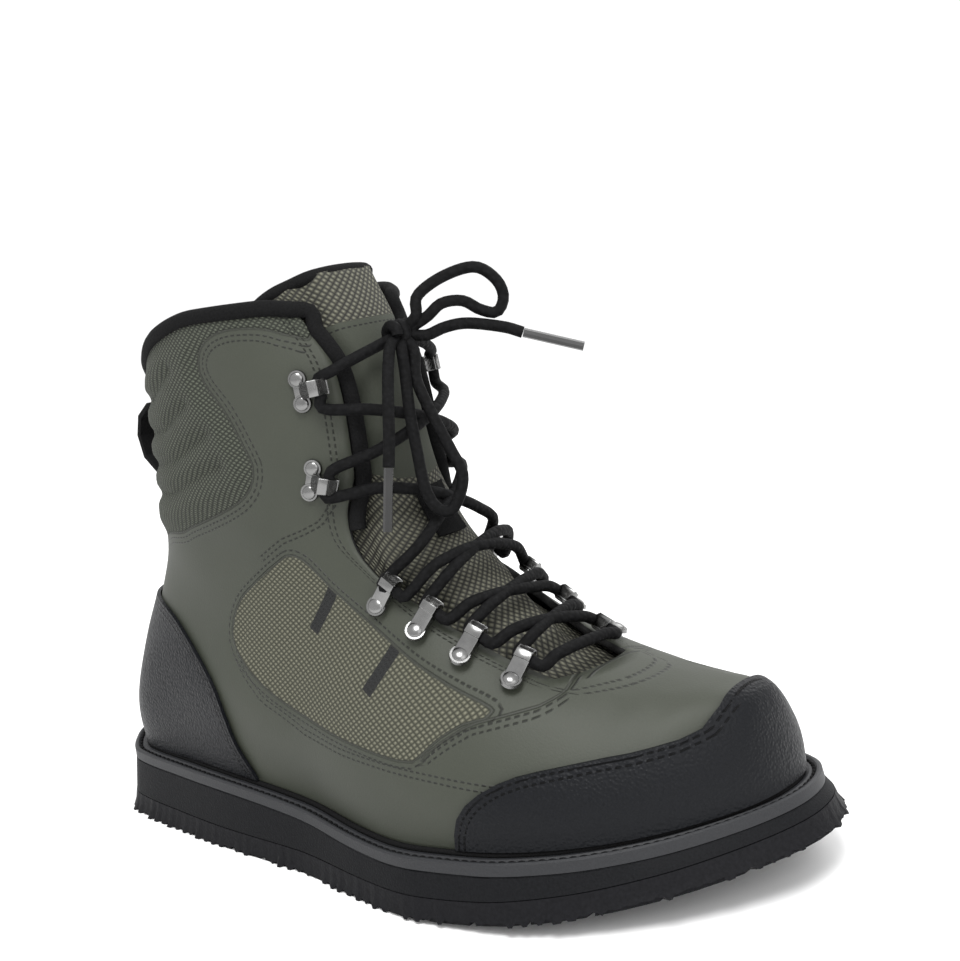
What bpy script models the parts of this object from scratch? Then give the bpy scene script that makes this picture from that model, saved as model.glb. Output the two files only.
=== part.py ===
"""Wading boot for the right foot: rubber sole with square lugs, foam midsole, grey welt,
hollow upper with toe cap and heel counter, tongue, metal eyelets and a tied round lace.

Metres. +X points to the toe, +Y to the medial side, +Z up.
The sole is drawn with its heel at x = 0, and the whole boot is centred on its box at the end.
"""
import bpy
import bmesh
import numpy as np
from functools import lru_cache
from math import cos, pi, sin, sqrt
from mathutils import Matrix, Vector

# Sole sizes
SOLE_LENGTH = 0.318
BALL_WIDTH = 0.1255
HEEL_WIDTH = 0.096
WAIST_LATERAL = 0.0525
WAIST_MEDIAL = 0.0400
TOE_SHIFT = 0.024
TOE_SPRING = 0.0177
SPRING_START = 0.55
SHIFT_START = 0.55
SOLE_FLARE = 0.0028
TOE_LEAN = 0.4
OUTSOLE_THICKNESS = 0.0080
HEEL_HEIGHT = 0.0222
BALL_HEIGHT = 0.0162
TOE_HEIGHT = 0.0120
LUG_PITCH_LENGTH = 0.0185
LUG_PITCH_WIDTH = 0.0208
EDGE_LUG_WIDTH = 0.0060
GROOVE_WIDTH = 0.0022
GROOVE_DEPTH = 0.0030
WELT_HEIGHT = 0.0043
WELT_WIDTH = 0.0094
WELT_PLAY = 0.0021
WELT_GROOVE_WIDTH = 0.0022
WELT_GROOVE_DEPTH = 0.0012
INSOLE_THICKNESS = 0.0040
INSOLE_PLAY = 0.0020

# Upper sizes
WALL = 0.0026
UPPER_SEAT = 0.0010
INSTEP_HEIGHT = 0.098
SIDE_BULGE = 0.0028
SHAFT_WIDTH = 0.086
SHAFT_LENGTH = 0.138
SHAFT_BACK = 0.040
COLLAR_HEIGHT = 0.203
COLLAR_DIP = 0.034
COLLAR_SLOPE = 0.018
THROAT_WIDTH = 0.060
OVERLAY_THICKNESS = 0.0014

# Tongue sizes
TONGUE_THICKNESS = 0.0050
TONGUE_INSET = 0.0050
TONGUE_LIFT = 0.0040
TONGUE_TUCK = 0.04
TONGUE_TOP = 1.09
TONGUE_DROOP = 0.085
TONGUE_ROWS = 16
TONGUE_COLUMNS = 12
TONGUE_COVER = 0.009
TONGUE_WING = 0.048
KEEPER_LENGTH = 0.034
KEEPER_WIDTH = 0.014
KEEPER_THICKNESS = 0.0012

# Trim and metal sizes
BINDING_DIAMETER = 0.0048
PULL_WIDTH = 0.020
PULL_THICKNESS = 0.0020
PULL_REACH = 0.017
PULL_HEIGHT = 0.030
EYELET_WIDTH = 0.0060
EYELET_TAIL = 0.0125
METAL_THICKNESS = 0.0008
RIVET_DIAMETER = 0.0078
RIVET_HEIGHT = 0.0022
HOOK_WIDTH = 0.0060
HOOK_SETBACK = 0.0150
HOOK_RISE = 0.0075
HOOK_RIVET_SPREAD = 0.0088
LACE_DIAMETER = 0.0042
LACE_PLAY = 0.0004

EYELET_REACH = 0.0030
HOOK_REACH = 0.0110
HOOK_FLARE = 0.0008
LACE_INSIDE = 0.0030
LACE_STOP = 0.0058
LACE_HEIGHT = 0.0042
LACE_STATIONS = 7
KNOT_LENGTH = 0.016
KNOT_DEPTH = 0.011
TIP_LENGTH = 0.022
TIP_DIAMETER = 0.0034
KNOT_LEVEL = 0.955
KNOT_STAND = 0.0085
BINDING_START = 0.60
BINDING_RISE = 1.0
BINDING_GAP = 0.0009
PULL_LEVEL = 0.76
PULL_SECTION = 0.80
PULL_GAP = 0.0008
KEEPER_OUT = 0.0002
KEEPER_LEVELS = (0.60, 0.70)
METAL_GAP = 0.0013
HOOK_GAP = 0.0002
OVERLAY_GAP = 0.0004

# Clearance between touching pieces
FIT = 0.0003

# Plan of the sole: share of the length, size that the row follows, lateral share, medial share
PLAN = (
    (0.00, "heel", 0.00, 0.00),
    (0.04, "heel", 0.60, 0.60),
    (0.10, "heel", 0.90, 0.90),
    (0.20, "heel", 1.00, 0.98),
    (0.32, "waist", 0.98, 1.06),
    (0.44, "waist", 1.00, 1.00),
    (0.56, "ball", 0.93, 0.84),
    (0.66, "ball", 1.00, 0.98),
    (0.74, "ball", 0.99, 1.00),
    (0.82, "ball", 0.90, 0.96),
    (0.90, "ball", 0.70, 0.81),
    (0.96, "ball", 0.43, 0.54),
    (1.00, "ball", 0.00, 0.00),
)

# Foot of the last: share of its length, top as a share of the instep height,
# squareness of the arch, belly of the side as a share of the side bulge
FOOT = (
    (0.000, 0.00, 2.6, 1.0),
    (0.040, 0.45, 2.6, 1.0),
    (0.120, 0.75, 2.6, 1.0),
    (0.250, 1.00, 2.6, 1.4),
    (0.400, 1.08, 2.2, 2.6),
    (0.500, 1.10, 1.9, 2.6),
    (0.604, 0.98, 2.0, 1.6),
    (0.671, 0.82, 2.2, 1.0),
    (0.745, 0.66, 2.4, 1.0),
    (0.792, 0.585, 2.5, 1.0),
    (0.872, 0.50, 2.6, 1.0),
    (0.946, 0.455, 2.7, 1.0),
    (0.980, 0.40, 2.8, 1.0),
    (1.000, 0.00, 2.8, 1.0),
)

# Shaft of the last: share of the collar height, then back and front as shares of the
# shaft's length, counted from its back, and half width as a share of its width
SHAFT = (
    (0.12, -0.12, 1.25, 0.26),
    (0.20, -0.12, 1.25, 0.34),
    (0.32, -0.08, 1.20, 0.43),
    (0.44, -0.03, 1.12, 0.44),
    (0.53, 0.00, 1.08, 0.45),
    (0.63, 0.02, 1.03, 0.46),
    (0.73, 0.04, 1.00, 0.47),
    (0.86, 0.065, 0.97, 0.48),
    (0.97, 0.08, 0.91, 0.49),
    (1.07, 0.09, 0.84, 0.50),
    (1.20, 0.09, 0.78, 0.51),
)
SHAFT_SQUARE = 2.1

# Collar line: share of the sole's length, share of the dip at the back, share of the front slope
COLLAR = (
    (0.00, 1.0, 0.0),
    (0.12, 1.0, 0.0),
    (0.20, 0.55, 0.0),
    (0.28, 0.18, 0.0),
    (0.36, 0.02, 0.0),
    (0.44, 0.0, 0.0),
    (0.53, 0.0, 0.4),
    (0.58, 0.0, 1.0),
    (1.00, 0.0, 1.0),
)

# Rings of the upper: heights as shares of the collar line, closed below the throat and open above
CLOSED_RINGS = (0.0, 0.04, 0.085, 0.13, 0.17, 0.21, 0.24, 0.27, 0.30, 0.325)
OPEN_RINGS = (0.36, 0.41, 0.46, 0.52, 0.60, 0.68, 0.76, 0.84, 0.92, 1.0)
RINGS = CLOSED_RINGS + OPEN_RINGS
THROAT_START = CLOSED_RINGS[-1]

# Throat: share of the collar line's height, half width as a share of the throat's width
THROAT = (
    (THROAT_START, 0.28),
    (0.360, 0.32),
    (0.420, 0.38),
    (0.500, 0.44),
    (0.550, 0.47),
    (0.620, 0.45),
    (0.720, 0.38),
    (0.920, 0.36),
    (1.000, 0.42),
)

# Eyelets and hooks: share of the collar line's height
EYELETS = (0.348, 0.402, 0.457, 0.508)
HOOKS = (0.685, 0.860)

# Borders of the overlays in the side view: shares of the sole's length and of the collar height
TOE_CAP = (
    (0.696, 0.00),
    (0.698, 0.12),
    (0.711, 0.19),
    (0.755, 0.24),
    (0.824, 0.262),
    (0.881, 0.275),
    (0.920, 0.31),
    (0.930, 0.50),
    (1.100, 0.50),
    (1.100, 0.00),
)
HEEL_COUNTER = (
    (-0.05, 0.00),
    (-0.05, 0.455),
    (0.100, 0.455),
    (0.190, 0.44),
    (0.248, 0.40),
    (0.305, 0.33),
    (0.327, 0.27),
    (0.340, 0.20),
    (0.365, 0.12),
    (0.370, 0.00),
)
BORDER_STEP = 0.03
OVERLAY_ROW = 1
COUNTER_ROW = 13

# Bow, loops and ends of the lace, in metres from the knot's centre
BOW = {
    "bow_loop_front": (
        (0.0058, 0.0030, 0.0060), (0.0050, 0.0057, 0.0126), (0.0108, 0.0137, 0.0182),
        (0.0194, 0.0217, 0.0203), (0.0253, 0.0257, 0.0152), (0.0276, 0.0262, 0.0087),
        (0.0262, 0.0232, 0.0036), (0.0212, 0.0200, 0.0052), (0.0170, 0.0160, 0.0090),
        (0.0118, 0.0105, 0.0090), (0.0080, 0.0062, 0.0050),
    ),
    "bow_loop_side": (
        (0.0066, -0.0012, -0.0058), (0.0085, -0.0040, -0.0159), (0.0150, -0.0050, -0.0288),
        (0.0215, -0.0047, -0.0415), (0.0255, -0.0049, -0.0490), (0.0255, -0.0073, -0.0560),
        (0.0230, -0.0105, -0.0615), (0.0195, -0.0135, -0.0600), (0.0160, -0.0145, -0.0530),
        (0.0125, -0.0125, -0.0400), (0.0090, -0.0100, -0.0260), (0.0062, -0.0068, -0.0120),
        (0.0052, -0.0060, -0.0062),
    ),
    "lace_end_right": (
        (0.0074, 0.0055, -0.0015), (0.0125, 0.0100, 0.0005), (0.0190, 0.0150, 0.0010),
        (0.0290, 0.0225, -0.0018), (0.0345, 0.0262, -0.0045),
    ),
    "lace_end_left": (
        (0.0026, -0.0089, -0.0036), (0.0060, -0.0150, -0.0115), (0.0098, -0.0210, -0.0225),
        (0.0110, -0.0240, -0.0340), (0.0115, -0.0265, -0.0430),
    ),
}
LOOSE_LACE = ("lace_knot", *BOW, "lace_tip_right", "lace_tip_left")
TIPS = {"lace_end_right": "lace_tip_right", "lace_end_left": "lace_tip_left"}

FRONT_COLUMNS = 5
SIDE_COLUMNS = 16
RING_COLUMNS = 2 * (FRONT_COLUMNS + SIDE_COLUMNS)
TOE_SHARE = 0.17
FAN_RADIUS = 0.038
FAN_RAYS = 50
RUN_RAYS = 60
BLEND = 0.012
LEVEL_STEP = 0.01
SMOOTHING = 1


def smooth_table(places, values):
    """Return a smooth function through the rows of a table, with no overshoot between them."""
    places = np.array(places, float)
    values = np.array(values, float)
    step = np.diff(places)
    slope = np.diff(values) / step
    rate = np.zeros_like(values)
    product = slope[1:] * slope[:-1]
    total = slope[1:] + slope[:-1]
    total = np.where(total == 0, 1.0, total)
    rate[1:-1] = np.where(product > 0, 2 * product / total, 0.0)
    rate[0] = slope[0]
    rate[-1] = slope[-1]

    def value(x):
        x = np.clip(x, places[0], places[-1])
        i = np.clip(np.searchsorted(places, x) - 1, 0, len(step) - 1)
        t = (x - places[i]) / step[i]
        smooth = t * t * (3 - 2 * t)
        start = t * (1 - t) ** 2 * step[i] * rate[i]
        end = -t * t * (1 - t) * step[i] * rate[i + 1]
        return values[i] + (values[i + 1] - values[i]) * smooth + start + end

    return value


def column(table, index):
    """Return one column of a table."""
    return [row[index] for row in table]


def smooth_step(t):
    """Return a soft rise from 0 to 1."""
    t = np.clip(t, 0.0, 1.0)
    return t * t * (3 - 2 * t)


def plan_half_widths(inset):
    """Return the squares of the plan's lateral and medial half width, drawn in by inset."""
    sizes = {
        "heel": (HEEL_WIDTH / 2 - inset, HEEL_WIDTH / 2 - inset),
        "waist": (WAIST_LATERAL - inset, WAIST_MEDIAL - inset),
        "ball": (BALL_WIDTH / 2 - inset, BALL_WIDTH / 2 - inset),
    }
    shares = column(PLAN, 0)
    lateral = smooth_table(shares, [(row[2] * sizes[row[1]][0]) ** 2 for row in PLAN])
    medial = smooth_table(shares, [(row[3] * sizes[row[1]][1]) ** 2 for row in PLAN])
    return lateral, medial


def axis_shift(x):
    """Return how far the sole's centre line leans to the medial side."""
    return TOE_SHIFT * np.clip((x / SOLE_LENGTH - SHIFT_START) / (1 - SHIFT_START), 0, 1) ** 2


def ground_lift(x):
    """Return the height of the sole's underside: flat, then the toe spring."""
    return TOE_SPRING * np.clip((x / SOLE_LENGTH - SPRING_START) / (1 - SPRING_START), 0, 1) ** 2


def spring_slope(x):
    """Return the slope of the sole's underside."""
    share = np.clip((x / SOLE_LENGTH - SPRING_START) / (1 - SPRING_START), 0, 1)
    return 2 * TOE_SPRING * share / (1 - SPRING_START) / SOLE_LENGTH


def midsole_top(x):
    """Return the height of the midsole's top above the sole's underside."""
    waist = smooth_step((x / SOLE_LENGTH - 0.28) / 0.34)
    toe = smooth_step((x / SOLE_LENGTH - 0.66) / 0.34)
    return HEEL_HEIGHT + (BALL_HEIGHT - HEEL_HEIGHT) * waist + (TOE_HEIGHT - BALL_HEIGHT) * toe


def on_sole(x, y, height):
    """Return the point that lies height above the sprung underside."""
    slope = spring_slope(x)
    run = np.sqrt(1 + slope ** 2)
    return x - height * slope / run, y, ground_lift(x) + height / run


FLAT = np.linspace(0, SOLE_LENGTH, 81)
WORLD_X, _, WORLD_Z = on_sole(FLAT, 0.0, midsole_top(FLAT))
SOLE_TOP = smooth_table(WORLD_X, WORLD_Z)
FLAT_X = smooth_table(WORLD_X, FLAT)


def plan_outline(inset, count):
    """Return the closed plan outline of the flat sole, lateral side first, with round ends."""
    lateral, medial = plan_half_widths(inset)
    share = (1 - np.cos(np.linspace(0, pi, count))) / 2
    x = inset + share * (SOLE_LENGTH - 2 * inset)
    out = np.column_stack([x, axis_shift(x) - np.sqrt(np.maximum(lateral(share), 0))])
    back = np.column_stack([x, axis_shift(x) + np.sqrt(np.maximum(medial(share), 0))])
    return np.concatenate([out, back[::-1][1:-1]])


FOOT_TOP = smooth_table(column(FOOT, 0), [(top * INSTEP_HEIGHT) ** 2 for top in column(FOOT, 1)])
FOOT_SQUARE = smooth_table(column(FOOT, 0), column(FOOT, 2))
FOOT_BELLY = smooth_table(column(FOOT, 0), [share * SIDE_BULGE for share in column(FOOT, 3)])
FOOT_LATERAL, FOOT_MEDIAL = plan_half_widths(WELT_WIDTH)
SHAFT_PLACES = [share * COLLAR_HEIGHT for share in column(SHAFT, 0)]
SHAFT_REAR = smooth_table(SHAFT_PLACES, [SHAFT_BACK + k * SHAFT_LENGTH for k in column(SHAFT, 1)])
SHAFT_FRONT = smooth_table(SHAFT_PLACES, [SHAFT_BACK + k * SHAFT_LENGTH for k in column(SHAFT, 2)])
SHAFT_HALF = smooth_table(SHAFT_PLACES, [k * SHAFT_WIDTH for k in column(SHAFT, 3)])
COLLAR_LINE = smooth_table(
    [share * SOLE_LENGTH for share in column(COLLAR, 0)],
    [COLLAR_HEIGHT - row[1] * COLLAR_DIP - row[2] * COLLAR_SLOPE for row in COLLAR])
THROAT_HALF = smooth_table(column(THROAT, 0), [k * THROAT_WIDTH for k in column(THROAT, 1)])


def last_distance(x, y, z):
    """Return roughly how far a point lies outside the last, negative inside it."""
    rise = z - SOLE_TOP(x)
    flat = FLAT_X(x)
    flat = flat + TOE_LEAN * np.clip(rise, 0, INSTEP_HEIGHT) * spring_slope(flat)
    share = (flat - WELT_WIDTH) / (SOLE_LENGTH - 2 * WELT_WIDTH)
    inside = (share > 0) & (share < 1)
    share = np.clip(share, 1e-4, 1 - 1e-4)
    top = np.sqrt(np.maximum(FOOT_TOP(share), 1e-8))
    square = FOOT_SQUARE(share)
    rise = np.clip(rise / top, 0, 3)
    across = y - axis_shift(flat)
    half = np.sqrt(np.maximum(np.where(across < 0, FOOT_LATERAL(share), FOOT_MEDIAL(share)), 1e-8))
    belly = np.clip(rise / 0.8, 0, 1)
    half = half + FOOT_BELLY(share) * (4 * belly * (1 - belly)) ** 2
    foot = ((np.abs(across) / half) ** square + rise ** square) ** (1 / square) - 1
    foot = np.where(inside, foot * np.minimum(half, 0.04), 0.1)
    rear = SHAFT_REAR(z)
    front = SHAFT_FRONT(z)
    width = SHAFT_HALF(z)
    along = np.abs(x - (rear + front) / 2) / ((front - rear) / 2)
    shaft = (along ** SHAFT_SQUARE + (np.abs(y) / width) ** SHAFT_SQUARE) ** (1 / SHAFT_SQUARE) - 1
    shaft = shaft * width
    overlap = np.clip(0.5 + 0.5 * (foot - shaft) / BLEND, 0, 1)
    return foot + (shaft - foot) * overlap - BLEND * overlap * (1 - overlap)


def sheet_height(x, level):
    """Return the height at x of the ring at this share of the collar line."""
    base = SOLE_TOP(x) + UPPER_SEAT
    return base + level * (COLLAR_LINE(x) - base)


def cast(origin, angle, side, level):
    """Return the points where rays along one ring's sheet leave the last."""
    near = np.zeros_like(origin)
    far = np.full_like(origin, SOLE_LENGTH)
    start = axis_shift(FLAT_X(origin))
    for _ in range(36):
        reach = (near + far) / 2
        x = origin + reach * np.cos(angle)
        y = start + side * reach * np.sin(angle)
        outside = last_distance(x, y, sheet_height(x, level)) > 0
        far = np.where(outside, reach, far)
        near = np.where(outside, near, reach)
    x = origin + near * np.cos(angle)
    y = start + side * near * np.sin(angle)
    return np.column_stack([x, y, sheet_height(x, level)])


@lru_cache(maxsize=None)
def half_section(level, side):
    """Return one half of the section at this level, from the front round to the back."""
    middle = np.array([SHAFT_BACK + SHAFT_LENGTH / 2])
    fore = cast(middle, np.array([0.0]), side, level)[0][0] - FAN_RADIUS
    aft = cast(middle, np.array([pi]), side, level)[0][0] + FAN_RADIUS
    fan = np.linspace(0, pi / 2, FAN_RAYS)
    between = np.linspace(fore, aft, RUN_RAYS + 2)[1:-1]
    origin = np.concatenate([np.full(FAN_RAYS, fore), between, np.full(FAN_RAYS, aft)])
    angle = np.concatenate([fan, np.full(RUN_RAYS, pi / 2), fan + pi / 2])
    return cast(origin, angle, side, level)


def arc_lengths(points):
    """Return the length along a run of points."""
    return np.concatenate([[0.0], np.cumsum(np.linalg.norm(np.diff(points, axis=0), axis=1))])


def resample(points, stations):
    """Return points at these lengths along a run of points."""
    length = arc_lengths(points)
    return np.column_stack([np.interp(stations, length, points[:, k]) for k in range(3)])


@lru_cache(maxsize=None)
def section_throat(level, side):
    """Return the length from the front to the throat's edge on one section."""
    points = half_section(level, side)[:FAN_RAYS]
    across = np.abs(points[:, 1] - points[0, 1])
    return float(np.interp(THROAT_HALF(level), across, arc_lengths(points)))


def throat_run(level, side):
    """Return the length along the surface from the front to the throat's edge."""
    level = max(level, THROAT_START)
    below = int(level / LEVEL_STEP)
    share = level / LEVEL_STEP - below
    low = section_throat(round(below * LEVEL_STEP, 4), side)
    high = section_throat(round((below + 1) * LEVEL_STEP, 4), side)
    return low * (1 - share) + high * share


def ring_half(level, side):
    """Return the grid points of one half ring, from the front to the back."""
    points = half_section(level, side)
    total = arc_lengths(points)[-1]
    edge = throat_run(level, side)
    if level < THROAT_START:
        low = TOE_SHARE * total
        edge = low + (edge - low) * level / THROAT_START
    front = np.linspace(0, edge, FRONT_COLUMNS + 1)[:-1]
    share = np.linspace(0, 1, SIDE_COLUMNS + 1)
    share = share + 0.1 * np.sin(pi * share)
    return resample(points, np.concatenate([front, edge + (total - edge) * share]))


def ring(level):
    """Return the grid points of one ring, from the back round the lateral side to the back."""
    lateral = ring_half(level, -1)
    medial = ring_half(level, 1)
    return np.concatenate([lateral[::-1], medial[1:]])


@lru_cache(maxsize=None)
def full_section(level):
    """Return the section's points and their lengths from its front, negative on the lateral side."""
    lateral = half_section(level, -1)
    medial = half_section(level, 1)
    points = np.concatenate([lateral[::-1], medial[1:]])
    runs = np.concatenate([-arc_lengths(lateral)[::-1], arc_lengths(medial)[1:]])
    return points, runs


def on_last(level, run):
    """Return the point of the last's surface at this level and length from the front."""
    below = int(level / LEVEL_STEP)
    share = level / LEVEL_STEP - below
    found = []
    for step in (below, below + 1):
        points, runs = full_section(round(step * LEVEL_STEP, 4))
        found.append(np.array([np.interp(run, runs, points[:, k]) for k in range(3)]))
    return found[0] * (1 - share) + found[1] * share


def directions(level, run):
    """Return the surface's unit normal, medial direction and upward direction."""
    along = on_last(level, run + 0.002) - on_last(level, run - 0.002)
    up = on_last(level + LEVEL_STEP, run) - on_last(level - LEVEL_STEP, run)
    normal = np.cross(along, up)
    normal = normal / np.linalg.norm(normal)
    along = along / np.linalg.norm(along)
    return normal, along, np.cross(normal, along)


def off_last(level, run, out):
    """Return the point that stands out from the last's surface."""
    return on_last(level, run) + directions(level, run)[0] * out


def material(name, colour, roughness, metallic=0.0):
    """Return a Principled material."""
    made = bpy.data.materials.get(name) or bpy.data.materials.new(name)
    made.use_nodes = True
    shader = made.node_tree.nodes["Principled BSDF"]
    shader.inputs["Base Color"].default_value = (*colour, 1.0)
    shader.inputs["Roughness"].default_value = roughness
    shader.inputs["Metallic"].default_value = metallic
    return made


def rubber():
    return material("rubber", (0.018, 0.018, 0.019), 0.75)


def foam():
    return material("foam", (0.012, 0.012, 0.013), 0.8)


def strip_grey():
    return material("strip_grey", (0.075, 0.078, 0.082), 0.7)


def footbed():
    return material("footbed", (0.03, 0.03, 0.03), 0.9)


def olive_leather():
    return material("olive_leather", (0.105, 0.108, 0.078), 0.6)


def black_leather():
    return material("black_leather", (0.02, 0.021, 0.023), 0.5)


def black_textile():
    return material("black_textile", (0.012, 0.012, 0.012), 0.85)


def tongue_cloth():
    return material("tongue_cloth", (0.13, 0.125, 0.09), 0.8)


def gunmetal():
    return material("gunmetal", (0.35, 0.35, 0.34), 0.35, 0.9)


def lace_cord():
    return material("lace_cord", (0.010, 0.010, 0.011), 0.8)


def clear_tip():
    return material("clear_tip", (0.12, 0.12, 0.12), 0.2)


def link(obj):
    """Link an object to the scene and return it."""
    bpy.context.scene.collection.objects.link(obj)
    return obj


def add_object(name, bm, finish, smooth_angle=0.6):
    """Make an object from a bmesh, shaded smooth between its sharp edges."""
    mesh = bpy.data.meshes.new(name)
    bm.to_mesh(mesh)
    bm.free()
    mesh.materials.append(finish)
    mesh.shade_smooth()
    mesh.set_sharp_from_angle(angle=smooth_angle)
    return link(bpy.data.objects.new(name, mesh))


def boolean(obj, operation, cutter):
    """Combine an object with a hidden one."""
    cutter.hide_render = True
    cutter.display_type = "WIRE"
    step = obj.modifiers.new(cutter.name, "BOOLEAN")
    step.operation = operation
    step.solver = "EXACT"
    step.object = cutter


def thicken(obj, thickness, offset):
    """Give a sheet its wall, inward with offset -1 and outward with 1."""
    wall = obj.modifiers.new("wall", "SOLIDIFY")
    wall.thickness = thickness
    wall.offset = offset
    wall.use_even_offset = True


def edge_loop(bm, points):
    """Add a closed loop of edges through points."""
    verts = [bm.verts.new(point) for point in points]
    return [bm.edges.new(pair) for pair in zip(verts, verts[1:] + verts[:1])]


def sole_loop(bm, inset, height, count):
    """Add the plan outline as a loop at this height above the sprung underside."""
    outline = plan_outline(inset, count)
    return edge_loop(bm, [on_sole(x, y, height(x)) for x, y in outline])


def cap_with_strips(bm, loop):
    """Close a plan outline with cross strips, which follow the toe spring."""
    chain = [edge.verts[0] for edge in loop]
    half = len(chain) // 2
    bm.faces.new([chain[0], chain[1], chain[-1]])
    for i in range(1, half - 1):
        bm.faces.new([chain[i], chain[i + 1], chain[-i - 1], chain[-i]])
    bm.faces.new([chain[half - 1], chain[half], chain[half + 1]])


def sole_plate(name, layers, finish, count=35):
    """Build one closed layer of the sole through its outlines, given as inset and height."""
    bm = bmesh.new()
    loops = [sole_loop(bm, inset, height, count) for inset, height in layers]
    for low, high in zip(loops, loops[1:]):
        bmesh.ops.bridge_loops(bm, edges=low + high)
    cap_with_strips(bm, loops[0])
    cap_with_strips(bm, loops[-1])
    bmesh.ops.recalc_face_normals(bm, faces=bm.faces[:])
    return add_object(name, bm, finish)


def build_sole():
    """Build the outsole, midsole, welt and insole."""
    seam = SOLE_FLARE * OUTSOLE_THICKNESS / HEEL_HEIGHT
    outsole = sole_plate("outsole", (
        (0.0, lambda x: 0.0),
        (seam, lambda x: OUTSOLE_THICKNESS - FIT),
    ), rubber())
    boolean(outsole, "DIFFERENCE", groove_cutter())
    sole_plate("midsole", (
        (seam, lambda x: OUTSOLE_THICKNESS),
        (SOLE_FLARE, midsole_top),
    ), foam())
    build_welt()
    inset = WELT_WIDTH + WALL + INSOLE_PLAY
    sole_plate("insole", (
        (inset, lambda x: midsole_top(x) + FIT),
        (inset, lambda x: midsole_top(x) + FIT + INSOLE_THICKNESS),
    ), footbed())


def groove_cutter():
    """Return the grid of bars that cuts the tread's grooves, bent with the toe spring."""
    lengthwise = bmesh.new()
    rows = int(BALL_WIDTH / 2 / LUG_PITCH_WIDTH) + 1
    reach = BALL_WIDTH / 2 + TOE_SHIFT + LUG_PITCH_WIDTH
    for row in range(-rows, rows + 2):
        add_bar(lengthwise, -LUG_PITCH_LENGTH, SOLE_LENGTH + LUG_PITCH_LENGTH,
                (row + 0.5) * LUG_PITCH_WIDTH, GROOVE_WIDTH, 14)
    crosswise = bmesh.new()
    for row in range(int(SOLE_LENGTH / LUG_PITCH_LENGTH)):
        centre = (row + 0.5) * LUG_PITCH_LENGTH
        add_bar(crosswise, centre - GROOVE_WIDTH / 2, centre + GROOVE_WIDTH / 2, 0.0, 2 * reach, 1)
    bars = add_object("grooves_lengthwise", lengthwise, rubber())
    boolean(bars, "INTERSECT", sole_plate("groove_field", (
        (EDGE_LUG_WIDTH, lambda x: -2 * GROOVE_DEPTH),
        (EDGE_LUG_WIDTH, lambda x: 2 * GROOVE_DEPTH),
    ), rubber()))
    boolean(bars, "UNION", add_object("grooves_crosswise", crosswise, rubber()))
    return bars


def add_bar(bm, start, end, centre, width, stations):
    """Add one bar of the groove cutter, bent with the sole."""
    made = bmesh.ops.create_grid(bm, x_segments=stations, y_segments=1, size=0.5)["verts"]
    for vert in made:
        x = start + (vert.co.x + 0.5) * (end - start)
        vert.co = Vector((x, centre + vert.co.y * width, ground_lift(x) - GROOVE_DEPTH))
    faces = list({face for vert in made for face in vert.link_faces})
    grown = bmesh.ops.extrude_face_region(bm, geom=faces)["geom"]
    lifted = [item for item in grown if isinstance(item, bmesh.types.BMVert)]
    bmesh.ops.translate(bm, verts=lifted, vec=(0, 0, 2 * GROOVE_DEPTH))
    whole = {face for vert in made + lifted for face in vert.link_faces}
    bmesh.ops.recalc_face_normals(bm, faces=list(whole))


def build_welt():
    """Build the grey strip: a rim with a stitching groove along its top."""
    inner = WELT_WIDTH - WELT_PLAY
    groove = (SOLE_FLARE + inner) / 2
    rows = (
        (SOLE_FLARE, 0.0),
        (SOLE_FLARE, WELT_HEIGHT),
        (groove - WELT_GROOVE_WIDTH / 2, WELT_HEIGHT),
        (groove, WELT_HEIGHT - WELT_GROOVE_DEPTH),
        (groove + WELT_GROOVE_WIDTH / 2, WELT_HEIGHT),
        (inner, WELT_HEIGHT),
        (inner, 0.0),
    )
    bm = bmesh.new()
    loops = []
    for inset, height in rows:
        loops.append(sole_loop(bm, inset, lambda x: midsole_top(x) + FIT + height, 31))
    for first, second in zip(loops, loops[1:] + loops[:1]):
        bmesh.ops.bridge_loops(bm, edges=first + second)
    bmesh.ops.recalc_face_normals(bm, faces=bm.faces[:])
    add_object("welt", bm, strip_grey())


def placed_grid(points):
    """Return a bmesh grid through rows of points, faces outward, and its faces by row and column."""
    rows = len(points) - 1
    columns = len(points[0]) - 1
    bm = bmesh.new()
    made = bmesh.ops.create_grid(bm, x_segments=columns, y_segments=rows, size=0.5)["verts"]
    places = {}
    for face in bm.faces:
        centre = face.calc_center_median()
        places[face] = (int((centre.y + 0.5) * rows), int((centre.x + 0.5) * columns))
    for vert in made:
        index = round((vert.co.x + 0.5) * columns)
        row = round((vert.co.y + 0.5) * rows)
        vert.co = Vector(points[row][index])
    return bm, places


def upper_sheet(first_row, last_row):
    """Return the upper's outer surface between two rings, with its throat open."""
    levels = RINGS[first_row:last_row + 1]
    bm, places = placed_grid([ring(level) for level in levels])
    throat = []
    for face, (row, index) in places.items():
        in_front = SIDE_COLUMNS <= index < RING_COLUMNS - SIDE_COLUMNS
        if in_front and row + first_row >= len(CLOSED_RINGS) - 1:
            throat.append(face)
    bmesh.ops.delete(bm, geom=throat, context="FACES")
    bmesh.ops.remove_doubles(bm, verts=bm.verts[:], dist=1e-6)
    inner = [vert for vert in bm.verts if not vert.is_boundary]
    for _ in range(SMOOTHING):
        bmesh.ops.smooth_vert(bm, verts=inner, factor=0.5, use_axis_x=True, use_axis_y=True,
                              use_axis_z=True)
    bmesh.ops.triangulate(bm, faces=bm.faces[:], quad_method="SHORT_EDGE")
    return bm


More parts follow.
